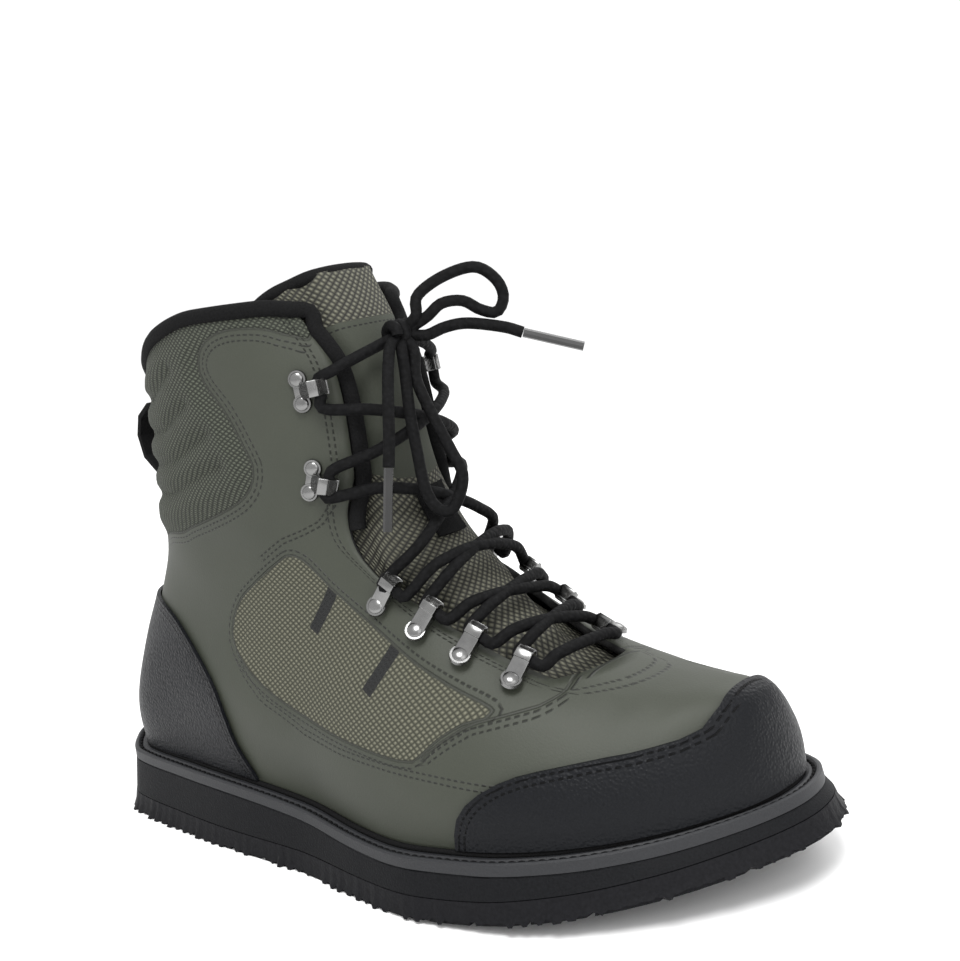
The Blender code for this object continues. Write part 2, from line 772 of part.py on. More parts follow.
def extruded(name, outline, width, finish):
    """Extrude a closed outline in the XZ plane to both sides along Y."""
    bm = bmesh.new()
    loop = edge_loop(bm, [(x, -width / 2, z) for x, z in outline])
    face = bmesh.ops.contextual_create(bm, geom=loop)["faces"]
    grown = bmesh.ops.extrude_face_region(bm, geom=face)["geom"]
    moved = [item for item in grown if isinstance(item, bmesh.types.BMVert)]
    bmesh.ops.translate(bm, verts=moved, vec=(0, width, 0))
    bmesh.ops.recalc_face_normals(bm, faces=bm.faces[:])
    return add_object(name, bm, finish)


def band_outline(path, thickness):
    """Return the closed outline of a strip with this thickness about a path."""
    points = np.array(path, float)
    step = np.diff(points, axis=0)
    step = step / np.linalg.norm(step, axis=1)[:, None]
    side = np.column_stack([-step[:, 1], step[:, 0]])
    mean = np.vstack([side[:1], side[1:] + side[:-1], side[-1:]])
    mean = mean / np.linalg.norm(mean, axis=1)[:, None]
    first = np.vstack([side[:1], side])
    reach = thickness / 2 / np.sum(mean * first, axis=1)[:, None]
    return np.concatenate([points + mean * reach, (points - mean * reach)[::-1]])


def overlay(name, border, last_row):
    """Build a layer over the upper's surface, inside this border in the side view."""
    bm = upper_sheet(OVERLAY_ROW, last_row)
    bm.normal_update()
    bmesh.ops.recalc_face_normals(bm, faces=bm.faces[:])
    places = [vert.co + vert.normal * OVERLAY_GAP * vert.calc_shell_factor() for vert in bm.verts]
    for vert, place in zip(bm.verts, places):
        vert.co = place
    layer = add_object(name, bm, black_leather())
    thicken(layer, OVERLAY_THICKNESS, 1.0)
    outline = [(x * SOLE_LENGTH, z * COLLAR_HEIGHT) for x, _, z in
               smooth_path([(x, 0.0, z) for x, z in border], BORDER_STEP)]
    boolean(layer, "INTERSECT", extruded(name + "_border", outline, 2 * BALL_WIDTH, rubber()))


def tube(name, points, diameter, finish, resolution=2):
    """Build a round cord through points."""
    curve = bpy.data.curves.new(name, "CURVE")
    curve.dimensions = "3D"
    curve.bevel_depth = diameter / 2
    curve.bevel_resolution = resolution
    curve.use_fill_caps = True
    spline = curve.splines.new("POLY")
    spline.points.add(len(points) - 1)
    for place, point in zip(spline.points, points):
        place.co = (*point, 1.0)
    curve.materials.append(finish)
    return link(bpy.data.objects.new(name, curve))


def tube_mesh(name, points, diameter, finish):
    """Build a round cord as a mesh, which a Boolean can join."""
    soft = tube(name + "_line", points, diameter, finish, 1)
    mesh = bpy.data.meshes.new_from_object(soft)
    bpy.data.objects.remove(soft)
    bm = bmesh.new()
    bm.from_mesh(mesh)
    bpy.data.meshes.remove(mesh)
    bmesh.ops.remove_doubles(bm, verts=bm.verts[:], dist=1e-6)
    bmesh.ops.recalc_face_normals(bm, faces=bm.faces[:])
    return add_object(name, bm, finish, 1.2)


def smooth_path(points, spacing):
    """Return evenly spaced points on the smooth curve through these points."""
    points = np.array(points, float)
    ends = np.vstack([2 * points[0] - points[1], points, 2 * points[-1] - points[-2]])
    fine = []
    for a, b, c, d in zip(ends, ends[1:], ends[2:], ends[3:]):
        for t in np.linspace(0, 1, 12, endpoint=False):
            fine.append(0.5 * (2 * b + (c - a) * t + (2 * a - 5 * b + 4 * c - d) * t ** 2
                               + (3 * b - a - 3 * c + d) * t ** 3))
    fine = np.array(fine + [points[-1]])
    total = arc_lengths(fine)[-1]
    return resample(fine, np.linspace(0, total, max(2, round(total / spacing)) + 1))


def throat_edge(level, side, setback=0.0):
    """Return the signed length from the front at which the throat's edge lies."""
    return side * (throat_run(level, side) + setback)


def level_along(level, distance, side, setback=0.0):
    """Return the level that lies this far up along the throat's edge."""
    step = 0.01
    low = on_last(level - step, throat_edge(level - step, side, setback))
    high = on_last(level + step, throat_edge(level + step, side, setback))
    return level + distance * 2 * step / float(np.linalg.norm(high - low))


def fitting_place(level, side, setback):
    """Return the placing of a metal fitting: X to the throat, Y along its edge, Z out."""
    run = throat_edge(level, side, setback)
    origin = on_last(level, run)
    out = directions(level, run)[0]
    high = level_along(level, 0.004, side, setback)
    low = level_along(level, -0.004, side, setback)
    edge = on_last(high, throat_edge(high, side, setback)) - on_last(low, throat_edge(low, side, setback))
    edge = edge - out * edge.dot(out)
    edge = edge / np.linalg.norm(edge)
    inward = np.cross(edge, out) * -side
    place = Matrix.Identity(4)
    for k, axis in enumerate((inward, edge * -side, out)):
        place.col[k] = Vector((*axis, 0.0))
    place.col[3] = Vector((*origin, 1.0))
    return place


def rivet(name, centre, diameter, finish, base):
    """Build one low rivet, standing on the metal at height 0."""
    bm = bmesh.new()
    bmesh.ops.create_cone(bm, cap_ends=True, segments=8, radius1=diameter / 2,
                          radius2=diameter * 0.36, depth=RIVET_HEIGHT,
                          matrix=Matrix.Translation((*centre, base + RIVET_HEIGHT / 2)))
    return add_object(name, bm, finish)


def bend(centre, radius, start, end, count):
    """Return points round part of a circle, with angles in half turns."""
    angles = np.linspace(start * pi, end * pi, count)
    return [(centre[0] + radius * cos(a), centre[1] + radius * sin(a)) for a in angles]


def build_eyelet(name, level, side):
    """Build one riveted loop that holds the lace beside the throat."""
    radius = LACE_DIAMETER / 2 + LACE_PLAY + METAL_THICKNESS / 2
    floor = METAL_GAP + METAL_THICKNESS / 2
    tail = -EYELET_TAIL / 2
    head = tail + EYELET_TAIL - radius
    path = [(tail, floor)] + bend((head, floor + radius), radius, -0.5, 0.5, 6)
    path += [(head - radius, floor + 1.6 * radius), (tail, floor + METAL_THICKNESS * 1.3)]
    loop = extruded(name, band_outline(path, METAL_THICKNESS), EYELET_WIDTH, gunmetal())
    boolean(loop, "UNION", rivet(name + "_rivet", (tail, 0.0), RIVET_DIAMETER,
                                 gunmetal(), METAL_GAP))
    place = fitting_place(level, side, EYELET_TAIL / 2 - EYELET_REACH)
    loop.matrix_world = place
    bpy.data.objects[name + "_rivet"].matrix_world = place


def build_hook(name, level, side):
    """Build one open lace hook on a plate with two rivets."""
    radius = LACE_DIAMETER / 2 + LACE_PLAY + METAL_THICKNESS / 2
    floor = HOOK_GAP + METAL_THICKNESS / 2
    reach = HOOK_REACH - radius
    path = [(0.0, floor), (reach, floor)] + bend((reach, floor + radius), radius, -0.4, 0.5, 5)
    path += [(reach - HOOK_REACH * 0.3, floor + 2 * radius + HOOK_FLARE)]
    hook = extruded(name, band_outline(path, METAL_THICKNESS), HOOK_WIDTH, gunmetal())
    half = HOOK_RIVET_SPREAD / 2 + METAL_THICKNESS
    plate = [(-half * 0.7, HOOK_GAP), (half * 0.7, HOOK_GAP),
             (half * 0.7, HOOK_GAP + METAL_THICKNESS * 1.5), (-half * 0.7, HOOK_GAP + METAL_THICKNESS * 1.5)]
    parts = [extruded(name + "_plate", plate, 2 * half, gunmetal())]
    for number, across in ((1, -HOOK_RIVET_SPREAD / 2), (2, HOOK_RIVET_SPREAD / 2)):
        parts.append(rivet(f"{name}_rivet_{number}", (0.0, across), HOOK_WIDTH, gunmetal(), HOOK_GAP))
    for part in parts:
        boolean(hook, "UNION", part)
    place = fitting_place(level, side, HOOK_SETBACK)
    for obj in [hook] + parts:
        obj.matrix_world = place


def lace_end_point(level, side, setback, distance):
    """Return where a strand leaves a loop, this far along the throat from its middle."""
    at = level_along(level, distance, side, setback)
    return at, throat_edge(at, side, setback)


def strand(low, high):
    """Return points of a strand drawn tight over the boot between two places."""
    first = off_last(*low, LACE_HEIGHT)
    last = off_last(*high, LACE_HEIGHT)
    out = directions(*low)[0] + directions(*high)[0]
    out = out / np.linalg.norm(out)
    points = []
    for share in np.linspace(0, 1, LACE_STATIONS + 1):
        point = first + (last - first) * share
        near, far = 0.0, INSTEP_HEIGHT / 2
        for _ in range(20 if 0 < share < 1 else 0):
            reach = (near + far) / 2
            if last_distance(*(point + out * reach)) > LACE_HEIGHT:
                far = reach
            else:
                near = reach
        points.append(point + out * near)
    return points


def build_laces():
    """Build the lace's bar and crossings, from loop to loop."""
    stops = [(level, -EYELET_REACH + LACE_INSIDE, EYELET_WIDTH / 2 + LACE_STOP) for level in EYELETS]
    stops += [(level, HOOK_SETBACK - HOOK_REACH + LACE_INSIDE, HOOK_WIDTH / 2 + LACE_STOP)
              for level in HOOKS]
    level, setback, stop = stops[0]
    lowest = [lace_end_point(level, side, setback, -stop) for side in (-1, 1)]
    tube_mesh("lace_bar", strand(*lowest), LACE_DIAMETER, lace_cord())
    for number, (low, high) in enumerate(zip(stops, stops[1:]), 1):
        name = f"lace_cross_{number}"
        made = []
        for side, tail in ((-1, ""), (1, "_under")):
            start = lace_end_point(low[0], side, low[1], low[2])
            end = lace_end_point(high[0], -side, high[1], -high[2])
            made.append(tube_mesh(name + tail, strand(start, end), LACE_DIAMETER, lace_cord()))
        boolean(made[0], "UNION", made[1])


def build_knot():
    """Build the knot with the strands that lead to it, the bow, the lace ends and their tips."""
    level = HOOKS[-1]
    setback = HOOK_SETBACK - HOOK_REACH + LACE_INSIDE
    centre = Vector(off_last(KNOT_LEVEL, 0.0, KNOT_STAND))
    middle = (KNOT_LEVEL, 0.0)
    ends = [strand(lace_end_point(level, side, setback, HOOK_WIDTH / 2 + LACE_STOP), middle)
            for side in (-1, 1)]
    line = ends[0] + ends[1][::-1][1:]
    knot = tube_mesh("lace_knot", line, LACE_DIAMETER, lace_cord())
    bm = bmesh.new()
    bmesh.ops.create_icosphere(bm, subdivisions=2, radius=0.5)
    bmesh.ops.scale(bm, verts=bm.verts[:], vec=(KNOT_DEPTH, KNOT_LENGTH, KNOT_DEPTH))
    bmesh.ops.translate(bm, verts=bm.verts[:], vec=centre)
    boolean(knot, "UNION", add_object("lace_knot_body", bm, lace_cord()))
    for name, points in BOW.items():
        path = smooth_path([centre + Vector(point) for point in points], 2.5 * LACE_DIAMETER)
        tube(name, path, LACE_DIAMETER, lace_cord())
        if name in TIPS:
            along = (path[-1] - path[-2]) / np.linalg.norm(path[-1] - path[-2])
            start = path[-1] + along * FIT
            tube(TIPS[name], [start, start + along * TIP_LENGTH], TIP_DIAMETER, clear_tip())


def build_binding():
    """Build the padded piping round the collar and down both edges of the throat."""
    rise = BINDING_DIAMETER / 2 + BINDING_GAP
    sides = []
    for side, index in ((-1, SIDE_COLUMNS), (1, RING_COLUMNS - SIDE_COLUMNS)):
        points = []
        for level in [level for level in OPEN_RINGS if level >= BINDING_START]:
            out, medial, up = directions(min(level, 0.99), throat_edge(min(level, 0.99), side))
            point = Vector(ring(level)[index]) - Vector(out) * WALL / 2 - Vector(medial) * side * rise
            points.append(point + (Vector(up) * rise if level == 1.0 else Vector()))
        sides.append(points)
    top = ring(1.0)
    places = [(index + RING_COLUMNS) % RING_COLUMNS for index in range(SIDE_COLUMNS - 1, -SIDE_COLUMNS, -1)]
    collar = []
    for index in places:
        before = Vector(top[index - 1])
        after = Vector(top[(index + 1) % RING_COLUMNS])
        medial = (after - before) if index else Vector((0, 1, 0))
        point = Vector(top[index])
        flat = Vector((medial.y, -medial.x, 0)).normalized()
        collar.append(point - flat * WALL / 2 + Vector((0, 0, 1)) * rise * BINDING_RISE)
    tube("collar_binding", sides[0] + collar + sides[1][::-1], BINDING_DIAMETER, black_textile(), 1)


def build_pull_loop():
    """Build the webbing loop behind the collar."""
    height = COLLAR_HEIGHT * PULL_LEVEL
    back = min(point[0] for point in half_section(PULL_SECTION, -1))
    half = PULL_HEIGHT / 2
    shape = ((0.0, 1.0), (0.45, 0.95), (0.85, 0.62), (1.0, 0.1), (0.88, -0.5), (0.5, -0.88), (0.0, -0.9))
    path = [(back - PULL_GAP - share * PULL_REACH, height + rise * half) for share, rise in shape]
    extruded("pull_loop", band_outline(path, PULL_THICKNESS), PULL_WIDTH, black_textile())


def build_keeper():
    """Build the strip on the tongue that the laces cross."""
    rows = []
    for run in np.linspace(-KEEPER_WIDTH / 2, KEEPER_WIDTH / 2, 5):
        rows.append([off_last(level, run, KEEPER_OUT)
                     for level in np.linspace(*KEEPER_LEVELS, 7)])
    bm, _ = placed_grid(rows)
    bmesh.ops.reverse_faces(bm, faces=bm.faces[:])
    thicken(add_object("lace_keeper", bm, black_textile()), KEEPER_THICKNESS, 1.0)


def drop_to(level, share):
    """Return the tongue's level at this share of its width, lower at the corners of its top."""
    return level - TONGUE_DROOP * share ** 2 * smooth_step((level - 0.6) / 0.4)


def build_tongue():
    """Build the tongue: under the upper at its edges, level with it in the open throat."""
    levels = np.linspace(THROAT_START - TONGUE_TUCK, TONGUE_TOP, TONGUE_ROWS + 1)
    rows = []
    for top_level in levels:
        level = top_level
        edges = [throat_run(level, side) for side in (-1, 1)]
        wing = smooth_step((level - 0.86) / 0.14)
        halves = [edge + TONGUE_COVER + wing * (TONGUE_WING - edge - TONGUE_COVER) for edge in edges]
        row = []
        for share in np.linspace(-1, 1, TONGUE_COLUMNS + 1):
            level = drop_to(top_level, share)
            run = share * halves[0 if share < 0 else 1]
            edge = edges[0 if share < 0 else 1]
            free = smooth_step((edge - BINDING_DIAMETER - abs(run)) / 0.010)
            free = free * smooth_step((level - THROAT_START - 0.02) / 0.06)
            row.append(off_last(level, run, -TONGUE_INSET + free * TONGUE_LIFT))
        rows.append(row)
    bm, _ = placed_grid(rows)
    bmesh.ops.triangulate(bm, faces=bm.faces[:], quad_method="SHORT_EDGE")
    tongue = add_object("tongue", bm, tongue_cloth())
    thicken(tongue, TONGUE_THICKNESS, -1.0)


def build_upper():
    """Build the hollow upper, open at the collar, the throat and underneath."""
    upper = add_object("upper", upper_sheet(0, len(RINGS) - 1), olive_leather())
    thicken(upper, WALL, -1.0)


def centre_on_box():
    """Centre the boot on its bounding box without the bow, with the lowest point at height 0."""
    bpy.context.view_layer.update()
    depsgraph = bpy.context.evaluated_depsgraph_get()
    corners = []
    for obj in bpy.data.objects:
        if not obj.hide_render and obj.name not in LOOSE_LACE:
            shown = obj.evaluated_get(depsgraph)
            corners += [obj.matrix_world @ vert.co for vert in shown.to_mesh().vertices]
    places = np.array(corners)
    low = Vector(places.min(axis=0))
    high = Vector(places.max(axis=0))
    shift = -(low + high) / 2
    shift.z = -low.z
    for obj in bpy.data.objects:
        obj.location += shift


def main():
    for obj in list(bpy.data.objects):
        bpy.data.objects.remove(obj)
    build_sole()
    build_upper()
    overlay("toe_cap", TOE_CAP, len(CLOSED_RINGS) - 1)
    overlay("heel_counter", HEEL_COUNTER, COUNTER_ROW)
    build_tongue()
    build_keeper()
    build_binding()
    build_pull_loop()
    for side, tail in ((-1, "lateral"), (1, "medial")):
        for number, level in enumerate(EYELETS, 1):
            build_eyelet(f"eyelet_{tail}_{number}", level, side)
        for number, level in enumerate(HOOKS, 1):
            build_hook(f"lace_hook_{tail}_{number}", level, side)
    build_laces()
    build_knot()
    centre_on_box()


main()
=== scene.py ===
# %% [markdown]
# # A wading boot, dressed for its portrait
# The boot is a hollow sewn upper on a lugged rubber sole, laced through metal loops and hooks.
# The rigid model gives its sizes. This script dresses it with smooth leather, cloth, stitches,
# metal and cord, and every new piece is built from the same sections as the model's solids.

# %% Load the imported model
import bpy
import bmesh
import numpy as np
from functools import lru_cache
from math import cos, pi, radians, sin
from mathutils import Matrix, Vector


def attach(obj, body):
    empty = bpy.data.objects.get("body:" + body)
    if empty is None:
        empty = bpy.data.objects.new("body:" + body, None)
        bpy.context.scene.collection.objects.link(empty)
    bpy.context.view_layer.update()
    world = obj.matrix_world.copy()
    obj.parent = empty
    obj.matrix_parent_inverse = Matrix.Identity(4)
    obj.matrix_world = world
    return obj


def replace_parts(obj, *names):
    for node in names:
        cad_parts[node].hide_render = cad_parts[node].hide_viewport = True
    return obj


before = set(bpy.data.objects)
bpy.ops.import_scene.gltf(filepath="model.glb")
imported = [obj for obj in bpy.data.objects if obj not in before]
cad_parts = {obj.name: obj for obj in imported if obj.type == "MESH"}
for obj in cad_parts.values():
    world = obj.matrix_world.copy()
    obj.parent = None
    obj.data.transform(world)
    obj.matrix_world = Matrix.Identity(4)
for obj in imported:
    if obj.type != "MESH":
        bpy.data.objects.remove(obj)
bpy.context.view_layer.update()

# %% [markdown]
# ## The camera
# The photograph looks at the boot's lateral side and toe, about 41 degrees round from the side
# and 10 degrees down. The lens is long, so the sole stays calm in perspective. The picture is
# rolled by 7 degrees, because the boot stands tilted in it.

# %% Camera
IMAGE_SIDE = 961
FOCAL_PIXELS = 1420.8
SENSOR = 36.0
ORIGIN = Vector((0.1590, 0.0037, 0.0))
CAMERA_AZIMUTH = radians(41.29)
CAMERA_ELEVATION = radians(9.79)
CAMERA_ROLL = radians(-7.01)
CAMERA_DISTANCE = 0.54094
CAMERA_TARGET = Vector((0.17813, 0.03218, 0.13021)) - ORIGIN


def linked(name, data):
    """Return a new object with this data, in the scene."""
    thing = bpy.data.objects.new(name, data)
    bpy.context.scene.collection.objects.link(thing)
    return thing


away = Vector((sin(CAMERA_AZIMUTH) * cos(CAMERA_ELEVATION),
               -cos(CAMERA_AZIMUTH) * cos(CAMERA_ELEVATION), sin(CAMERA_ELEVATION)))
sideways = Vector((cos(CAMERA_AZIMUTH), sin(CAMERA_AZIMUTH), 0.0))
upwards = away.cross(sideways)
turn = Matrix((sideways, upwards, away)).transposed().to_4x4() @ Matrix.Rotation(CAMERA_ROLL, 4, "Z")
lens = bpy.data.cameras.new("portrait_lens")
lens.lens = FOCAL_PIXELS / IMAGE_SIDE * SENSOR
lens.sensor_width = SENSOR
lens.sensor_fit = "AUTO"
lens.clip_start = 0.01
camera = linked("portrait_camera", lens)
camera.matrix_world = Matrix.Translation(CAMERA_TARGET + away * CAMERA_DISTANCE) @ turn
bpy.context.scene.camera = camera
print("lens", round(lens.lens, 2), "mm at", tuple(round(v, 3) for v in camera.location))

# %% [markdown]
# ## The last
# A shoe is lasted: its upper is pulled over a wooden or plastic foot, the last, and takes its
# shape. Here the last is a formula with short tables: the plan of the sole, the arch of the foot
# and the oval of the shaft, blended where they meet. Each ring of the upper is where a sheet
# between the sole and the collar cuts the last. The model's solids were made with the same
# tables, so every piece that follows them fits without any measuring.

# %% Sizes of the sole, in metres
SOLE_LENGTH = 0.318
BALL_WIDTH = 0.1255
HEEL_WIDTH = 0.096
WAIST_LATERAL = 0.0525
WAIST_MEDIAL = 0.0400
TOE_SHIFT = 0.024
TOE_SPRING = 0.0177
SPRING_START = 0.55
SHIFT_START = 0.55
SOLE_FLARE = 0.0028
TOE_LEAN = 0.4
OUTSOLE_THICKNESS = 0.0080
HEEL_HEIGHT = 0.0222
BALL_HEIGHT = 0.0162
TOE_HEIGHT = 0.0120
WELT_HEIGHT = 0.0043
WELT_WIDTH = 0.0094
WELT_PLAY = 0.0021
WELT_GROOVE_WIDTH = 0.0022
WELT_GROOVE_DEPTH = 0.0012
print("sole:", SOLE_LENGTH, "m long,", BALL_WIDTH, "m wide")

# %% [markdown]
# The upper is cut from sheet goods about 2.6 mm thick with its lining. Its shaft is a tube with
# a sloping top edge, the collar.

# %% Sizes of the upper, in metres
WALL = 0.0026
UPPER_SEAT = 0.0010
INSTEP_HEIGHT = 0.098
SIDE_BULGE = 0.0028
SHAFT_WIDTH = 0.086
SHAFT_LENGTH = 0.138
SHAFT_BACK = 0.040
COLLAR_HEIGHT = 0.203
COLLAR_DIP = 0.034
COLLAR_SLOPE = 0.018
THROAT_WIDTH = 0.060
OVERLAY_THICKNESS = 0.0014
print("collar:", COLLAR_HEIGHT, "m high, instep:", INSTEP_HEIGHT, "m high")

# %% [markdown]
# The tongue is a padded strip below the laces. It is tucked in at the toe end and its upper end
# stands above the collar.

# %% Sizes of the tongue, in metres and in shares
TONGUE_THICKNESS = 0.0050
TONGUE_INSET = 0.0050
TONGUE_LIFT = 0.0040
TONGUE_TUCK = 0.04
TONGUE_TOP = 1.09
TONGUE_DROOP = 0.085
TONGUE_COVER = 0.009
TONGUE_WING = 0.048
print("tongue:", TONGUE_THICKNESS, "m thick")

# %% [markdown]
# The trim is a piping around the collar, eyelets and hooks bent from sheet metal, and one round
# lace. Short gaps keep the pieces from sharing a surface.

# %% Sizes of the trim, in metres
BINDING_DIAMETER = 0.0048
EYELET_WIDTH = 0.0060
EYELET_TAIL = 0.0125
METAL_THICKNESS = 0.0008
RIVET_DIAMETER = 0.0078
RIVET_HEIGHT = 0.0022
HOOK_WIDTH = 0.0060
HOOK_SETBACK = 0.0150
HOOK_RIVET_SPREAD = 0.0088
LACE_DIAMETER = 0.0042
LACE_PLAY = 0.0004

EYELET_REACH = 0.0030
HOOK_REACH = 0.0110
HOOK_FLARE = 0.0008
LACE_INSIDE = 0.0030
LACE_HEIGHT = 0.0042
LACE_STATIONS = 7
KNOT_LEVEL = 0.955
KNOT_STAND = 0.0085
BINDING_START = 0.60
BINDING_RISE = 1.0
BINDING_GAP = 0.0009
METAL_GAP = 0.0013
HOOK_GAP = 0.0002
OVERLAY_GAP = 0.0004

FIT = 0.0003
print("lace:", LACE_DIAMETER, "m thick, clearance between pieces:", FIT, "m")

# %% [markdown]
# The sole bends like a hook at the big toe and is narrow at the waist. A table gives its half
# widths, and a smooth curve through the rows gives every place between them.

# %% Plan of the sole
# Plan of the sole: share of the length, size that the row follows, lateral share, medial share
PLAN = (
    (0.00, "heel", 0.00, 0.00),
    (0.04, "heel", 0.60, 0.60),
    (0.10, "heel", 0.90, 0.90),
    (0.20, "heel", 1.00, 0.98),
    (0.32, "waist", 0.98, 1.06),
    (0.44, "waist", 1.00, 1.00),
    (0.56, "ball", 0.93, 0.84),
    (0.66, "ball", 1.00, 0.98),
    (0.74, "ball", 0.99, 1.00),
    (0.82, "ball", 0.90, 0.96),
    (0.90, "ball", 0.70, 0.81),
    (0.96, "ball", 0.43, 0.54),
    (1.00, "ball", 0.00, 0.00),
)
print("rows of the plan:", len(PLAN))

# %% [markdown]
# The foot rises from the toe box to the instep, and the shaft is an oval that grows to the
# collar. Both are tables of shares, so that a boot of another size keeps its shape.

# %% Foot and shaft of the last
# Foot of the last: share of its length, top as a share of the instep height,
# squareness of the arch, belly of the side as a share of the side bulge
FOOT = (
    (0.000, 0.00, 2.6, 1.0),
    (0.040, 0.45, 2.6, 1.0),
    (0.120, 0.75, 2.6, 1.0),
    (0.250, 1.00, 2.6, 1.4),
    (0.400, 1.08, 2.2, 2.6),
    (0.500, 1.10, 1.9, 2.6),
    (0.604, 0.98, 2.0, 1.6),
    (0.671, 0.82, 2.2, 1.0),
    (0.745, 0.66, 2.4, 1.0),
    (0.792, 0.585, 2.5, 1.0),
    (0.872, 0.50, 2.6, 1.0),
    (0.946, 0.455, 2.7, 1.0),
    (0.980, 0.40, 2.8, 1.0),
    (1.000, 0.00, 2.8, 1.0),
)

# Shaft of the last: share of the collar height, then back and front as shares of the
# shaft's length, counted from its back, and half width as a share of its width
SHAFT = (
    (0.12, -0.12, 1.25, 0.26),
    (0.20, -0.12, 1.25, 0.34),
    (0.32, -0.08, 1.20, 0.43),
    (0.44, -0.03, 1.12, 0.44),
    (0.53, 0.00, 1.08, 0.45),
    (0.63, 0.02, 1.03, 0.46),
    (0.73, 0.04, 1.00, 0.47),
    (0.86, 0.065, 0.97, 0.48),
    (0.97, 0.08, 0.91, 0.49),
    (1.07, 0.09, 0.84, 0.50),
    (1.20, 0.09, 0.78, 0.51),
)
SHAFT_SQUARE = 2.1
print("rows of the foot and the shaft:", len(FOOT), len(SHAFT))

# %% [markdown]
# The collar dips at the back and slopes in front. The rings of the upper follow it, closed
# below the throat and open above, where the tongue shows.

# %% Collar, rings and throat
# Collar line: share of the sole's length, share of the dip at the back, share of the front slope
COLLAR = (
    (0.00, 1.0, 0.0),
    (0.12, 1.0, 0.0),
    (0.20, 0.55, 0.0),
    (0.28, 0.18, 0.0),
    (0.36, 0.02, 0.0),
    (0.44, 0.0, 0.0),
    (0.53, 0.0, 0.4),
    (0.58, 0.0, 1.0),
    (1.00, 0.0, 1.0),
)

# Rings of the upper: heights as shares of the collar line, closed below the throat and open above
CLOSED_RINGS = tuple(round(float(v), 5) for v in np.linspace(0.0, 0.325, 30))
OPEN_RINGS = tuple(round(float(v), 5) for v in np.linspace(0.335, 1.0, 58))
RINGS = CLOSED_RINGS + OPEN_RINGS
THROAT_START = CLOSED_RINGS[-1]

# Throat: share of the collar line's height, half width as a share of the throat's width
THROAT = (
    (THROAT_START, 0.28),
    (0.360, 0.32),
    (0.420, 0.38),
    (0.500, 0.44),
    (0.550, 0.47),
    (0.620, 0.45),
    (0.720, 0.38),
    (0.920, 0.36),
    (1.000, 0.42),
)

# Eyelets and hooks: share of the collar line's height
EYELETS = (0.348, 0.402, 0.457, 0.508)
HOOKS = (0.685, 0.860)
print("rings:", len(RINGS), "eyelets and hooks a side:", len(EYELETS), len(HOOKS))

# %% [markdown]
# The toe cap and the heel counter are stitched over the upper, where rocks wear it. Their
# borders are drawn in the side view.

# %% Borders of the overlays
# Borders of the overlays in the side view: shares of the sole's length and of the collar height
TOE_CAP = (
    (0.696, 0.00),
    (0.698, 0.12),
    (0.711, 0.19),
    (0.755, 0.24),
    (0.824, 0.262),
    (0.881, 0.275),
    (0.920, 0.31),
    (0.930, 0.50),
    (1.100, 0.50),
    (1.100, 0.00),
)
HEEL_COUNTER = (
    (-0.05, 0.00),
    (-0.05, 0.455),
    (0.100, 0.455),
    (0.190, 0.44),
    (0.248, 0.40),
    (0.305, 0.33),
    (0.327, 0.27),
    (0.340, 0.20),
    (0.365, 0.12),
    (0.370, 0.00),
)
print("corners of the toe cap and counter:", len(TOE_CAP), len(HEEL_COUNTER))

# %% [markdown]
# The bow has two loops and two ends with clear tips. Their paths are read from the picture and
# are counted from the knot.

# %% Bow and ends of the lace
# Bow, loops and ends of the lace, in metres from the knot's centre
BOW = {
    "bow_loop_front": (
        (0.0058, 0.0030, 0.0060), (0.0050, 0.0057, 0.0126), (0.0108, 0.0137, 0.0182),
        (0.0194, 0.0217, 0.0203), (0.0253, 0.0257, 0.0152), (0.0276, 0.0262, 0.0087),
        (0.0262, 0.0232, 0.0036), (0.0212, 0.0200, 0.0052), (0.0170, 0.0160, 0.0090),
        (0.0118, 0.0105, 0.0090), (0.0080, 0.0062, 0.0050),
    ),
    "bow_loop_side": (
        (0.0066, -0.0012, -0.0058), (0.0085, -0.0040, -0.0159), (0.0150, -0.0050, -0.0288),
        (0.0215, -0.0047, -0.0415), (0.0255, -0.0049, -0.0490), (0.0255, -0.0073, -0.0560),
        (0.0230, -0.0105, -0.0615), (0.0195, -0.0135, -0.0600), (0.0160, -0.0145, -0.0530),
        (0.0125, -0.0125, -0.0400), (0.0090, -0.0100, -0.0260), (0.0062, -0.0068, -0.0120),
        (0.0052, -0.0060, -0.0062),
    ),
    "lace_end_right": (
        (0.0074, 0.0055, -0.0015), (0.0125, 0.0100, 0.0005), (0.0190, 0.0150, 0.0010),
        (0.0290, 0.0225, -0.0018), (0.0345, 0.0262, -0.0045),
    ),
    "lace_end_left": (
        (0.0026, -0.0089, -0.0036), (0.0060, -0.0150, -0.0115), (0.0098, -0.0210, -0.0225),
        (0.0110, -0.0240, -0.0340), (0.0115, -0.0265, -0.0430),
    ),
}
TIPS = {"lace_end_right": "lace_tip_right", "lace_end_left": "lace_tip_left"}
print("parts of the bow:", *BOW)

# %% [markdown]
# The upper is a grid of columns around the foot and of rings above each other. It is finer than
# the grid of the solids, because panels and stitches are drawn on it.

# %% Grid of the upper
FRONT_COLUMNS = 14
SIDE_COLUMNS = 62
RING_COLUMNS = 2 * (FRONT_COLUMNS + SIDE_COLUMNS)
TOE_SHARE = 0.17
FAN_RADIUS = 0.038
FAN_RAYS = 50
RUN_RAYS = 60
BLEND = 0.012
LEVEL_STEP = 0.01
SMOOTHING_PASSES = 6
print("columns of a ring:", RING_COLUMNS)

# %% [markdown]
# A last maker draws fair curves through measured points. A table is made smooth the same way,
# and its curve does not swing beyond the rows.

# %% Smooth curves through tables


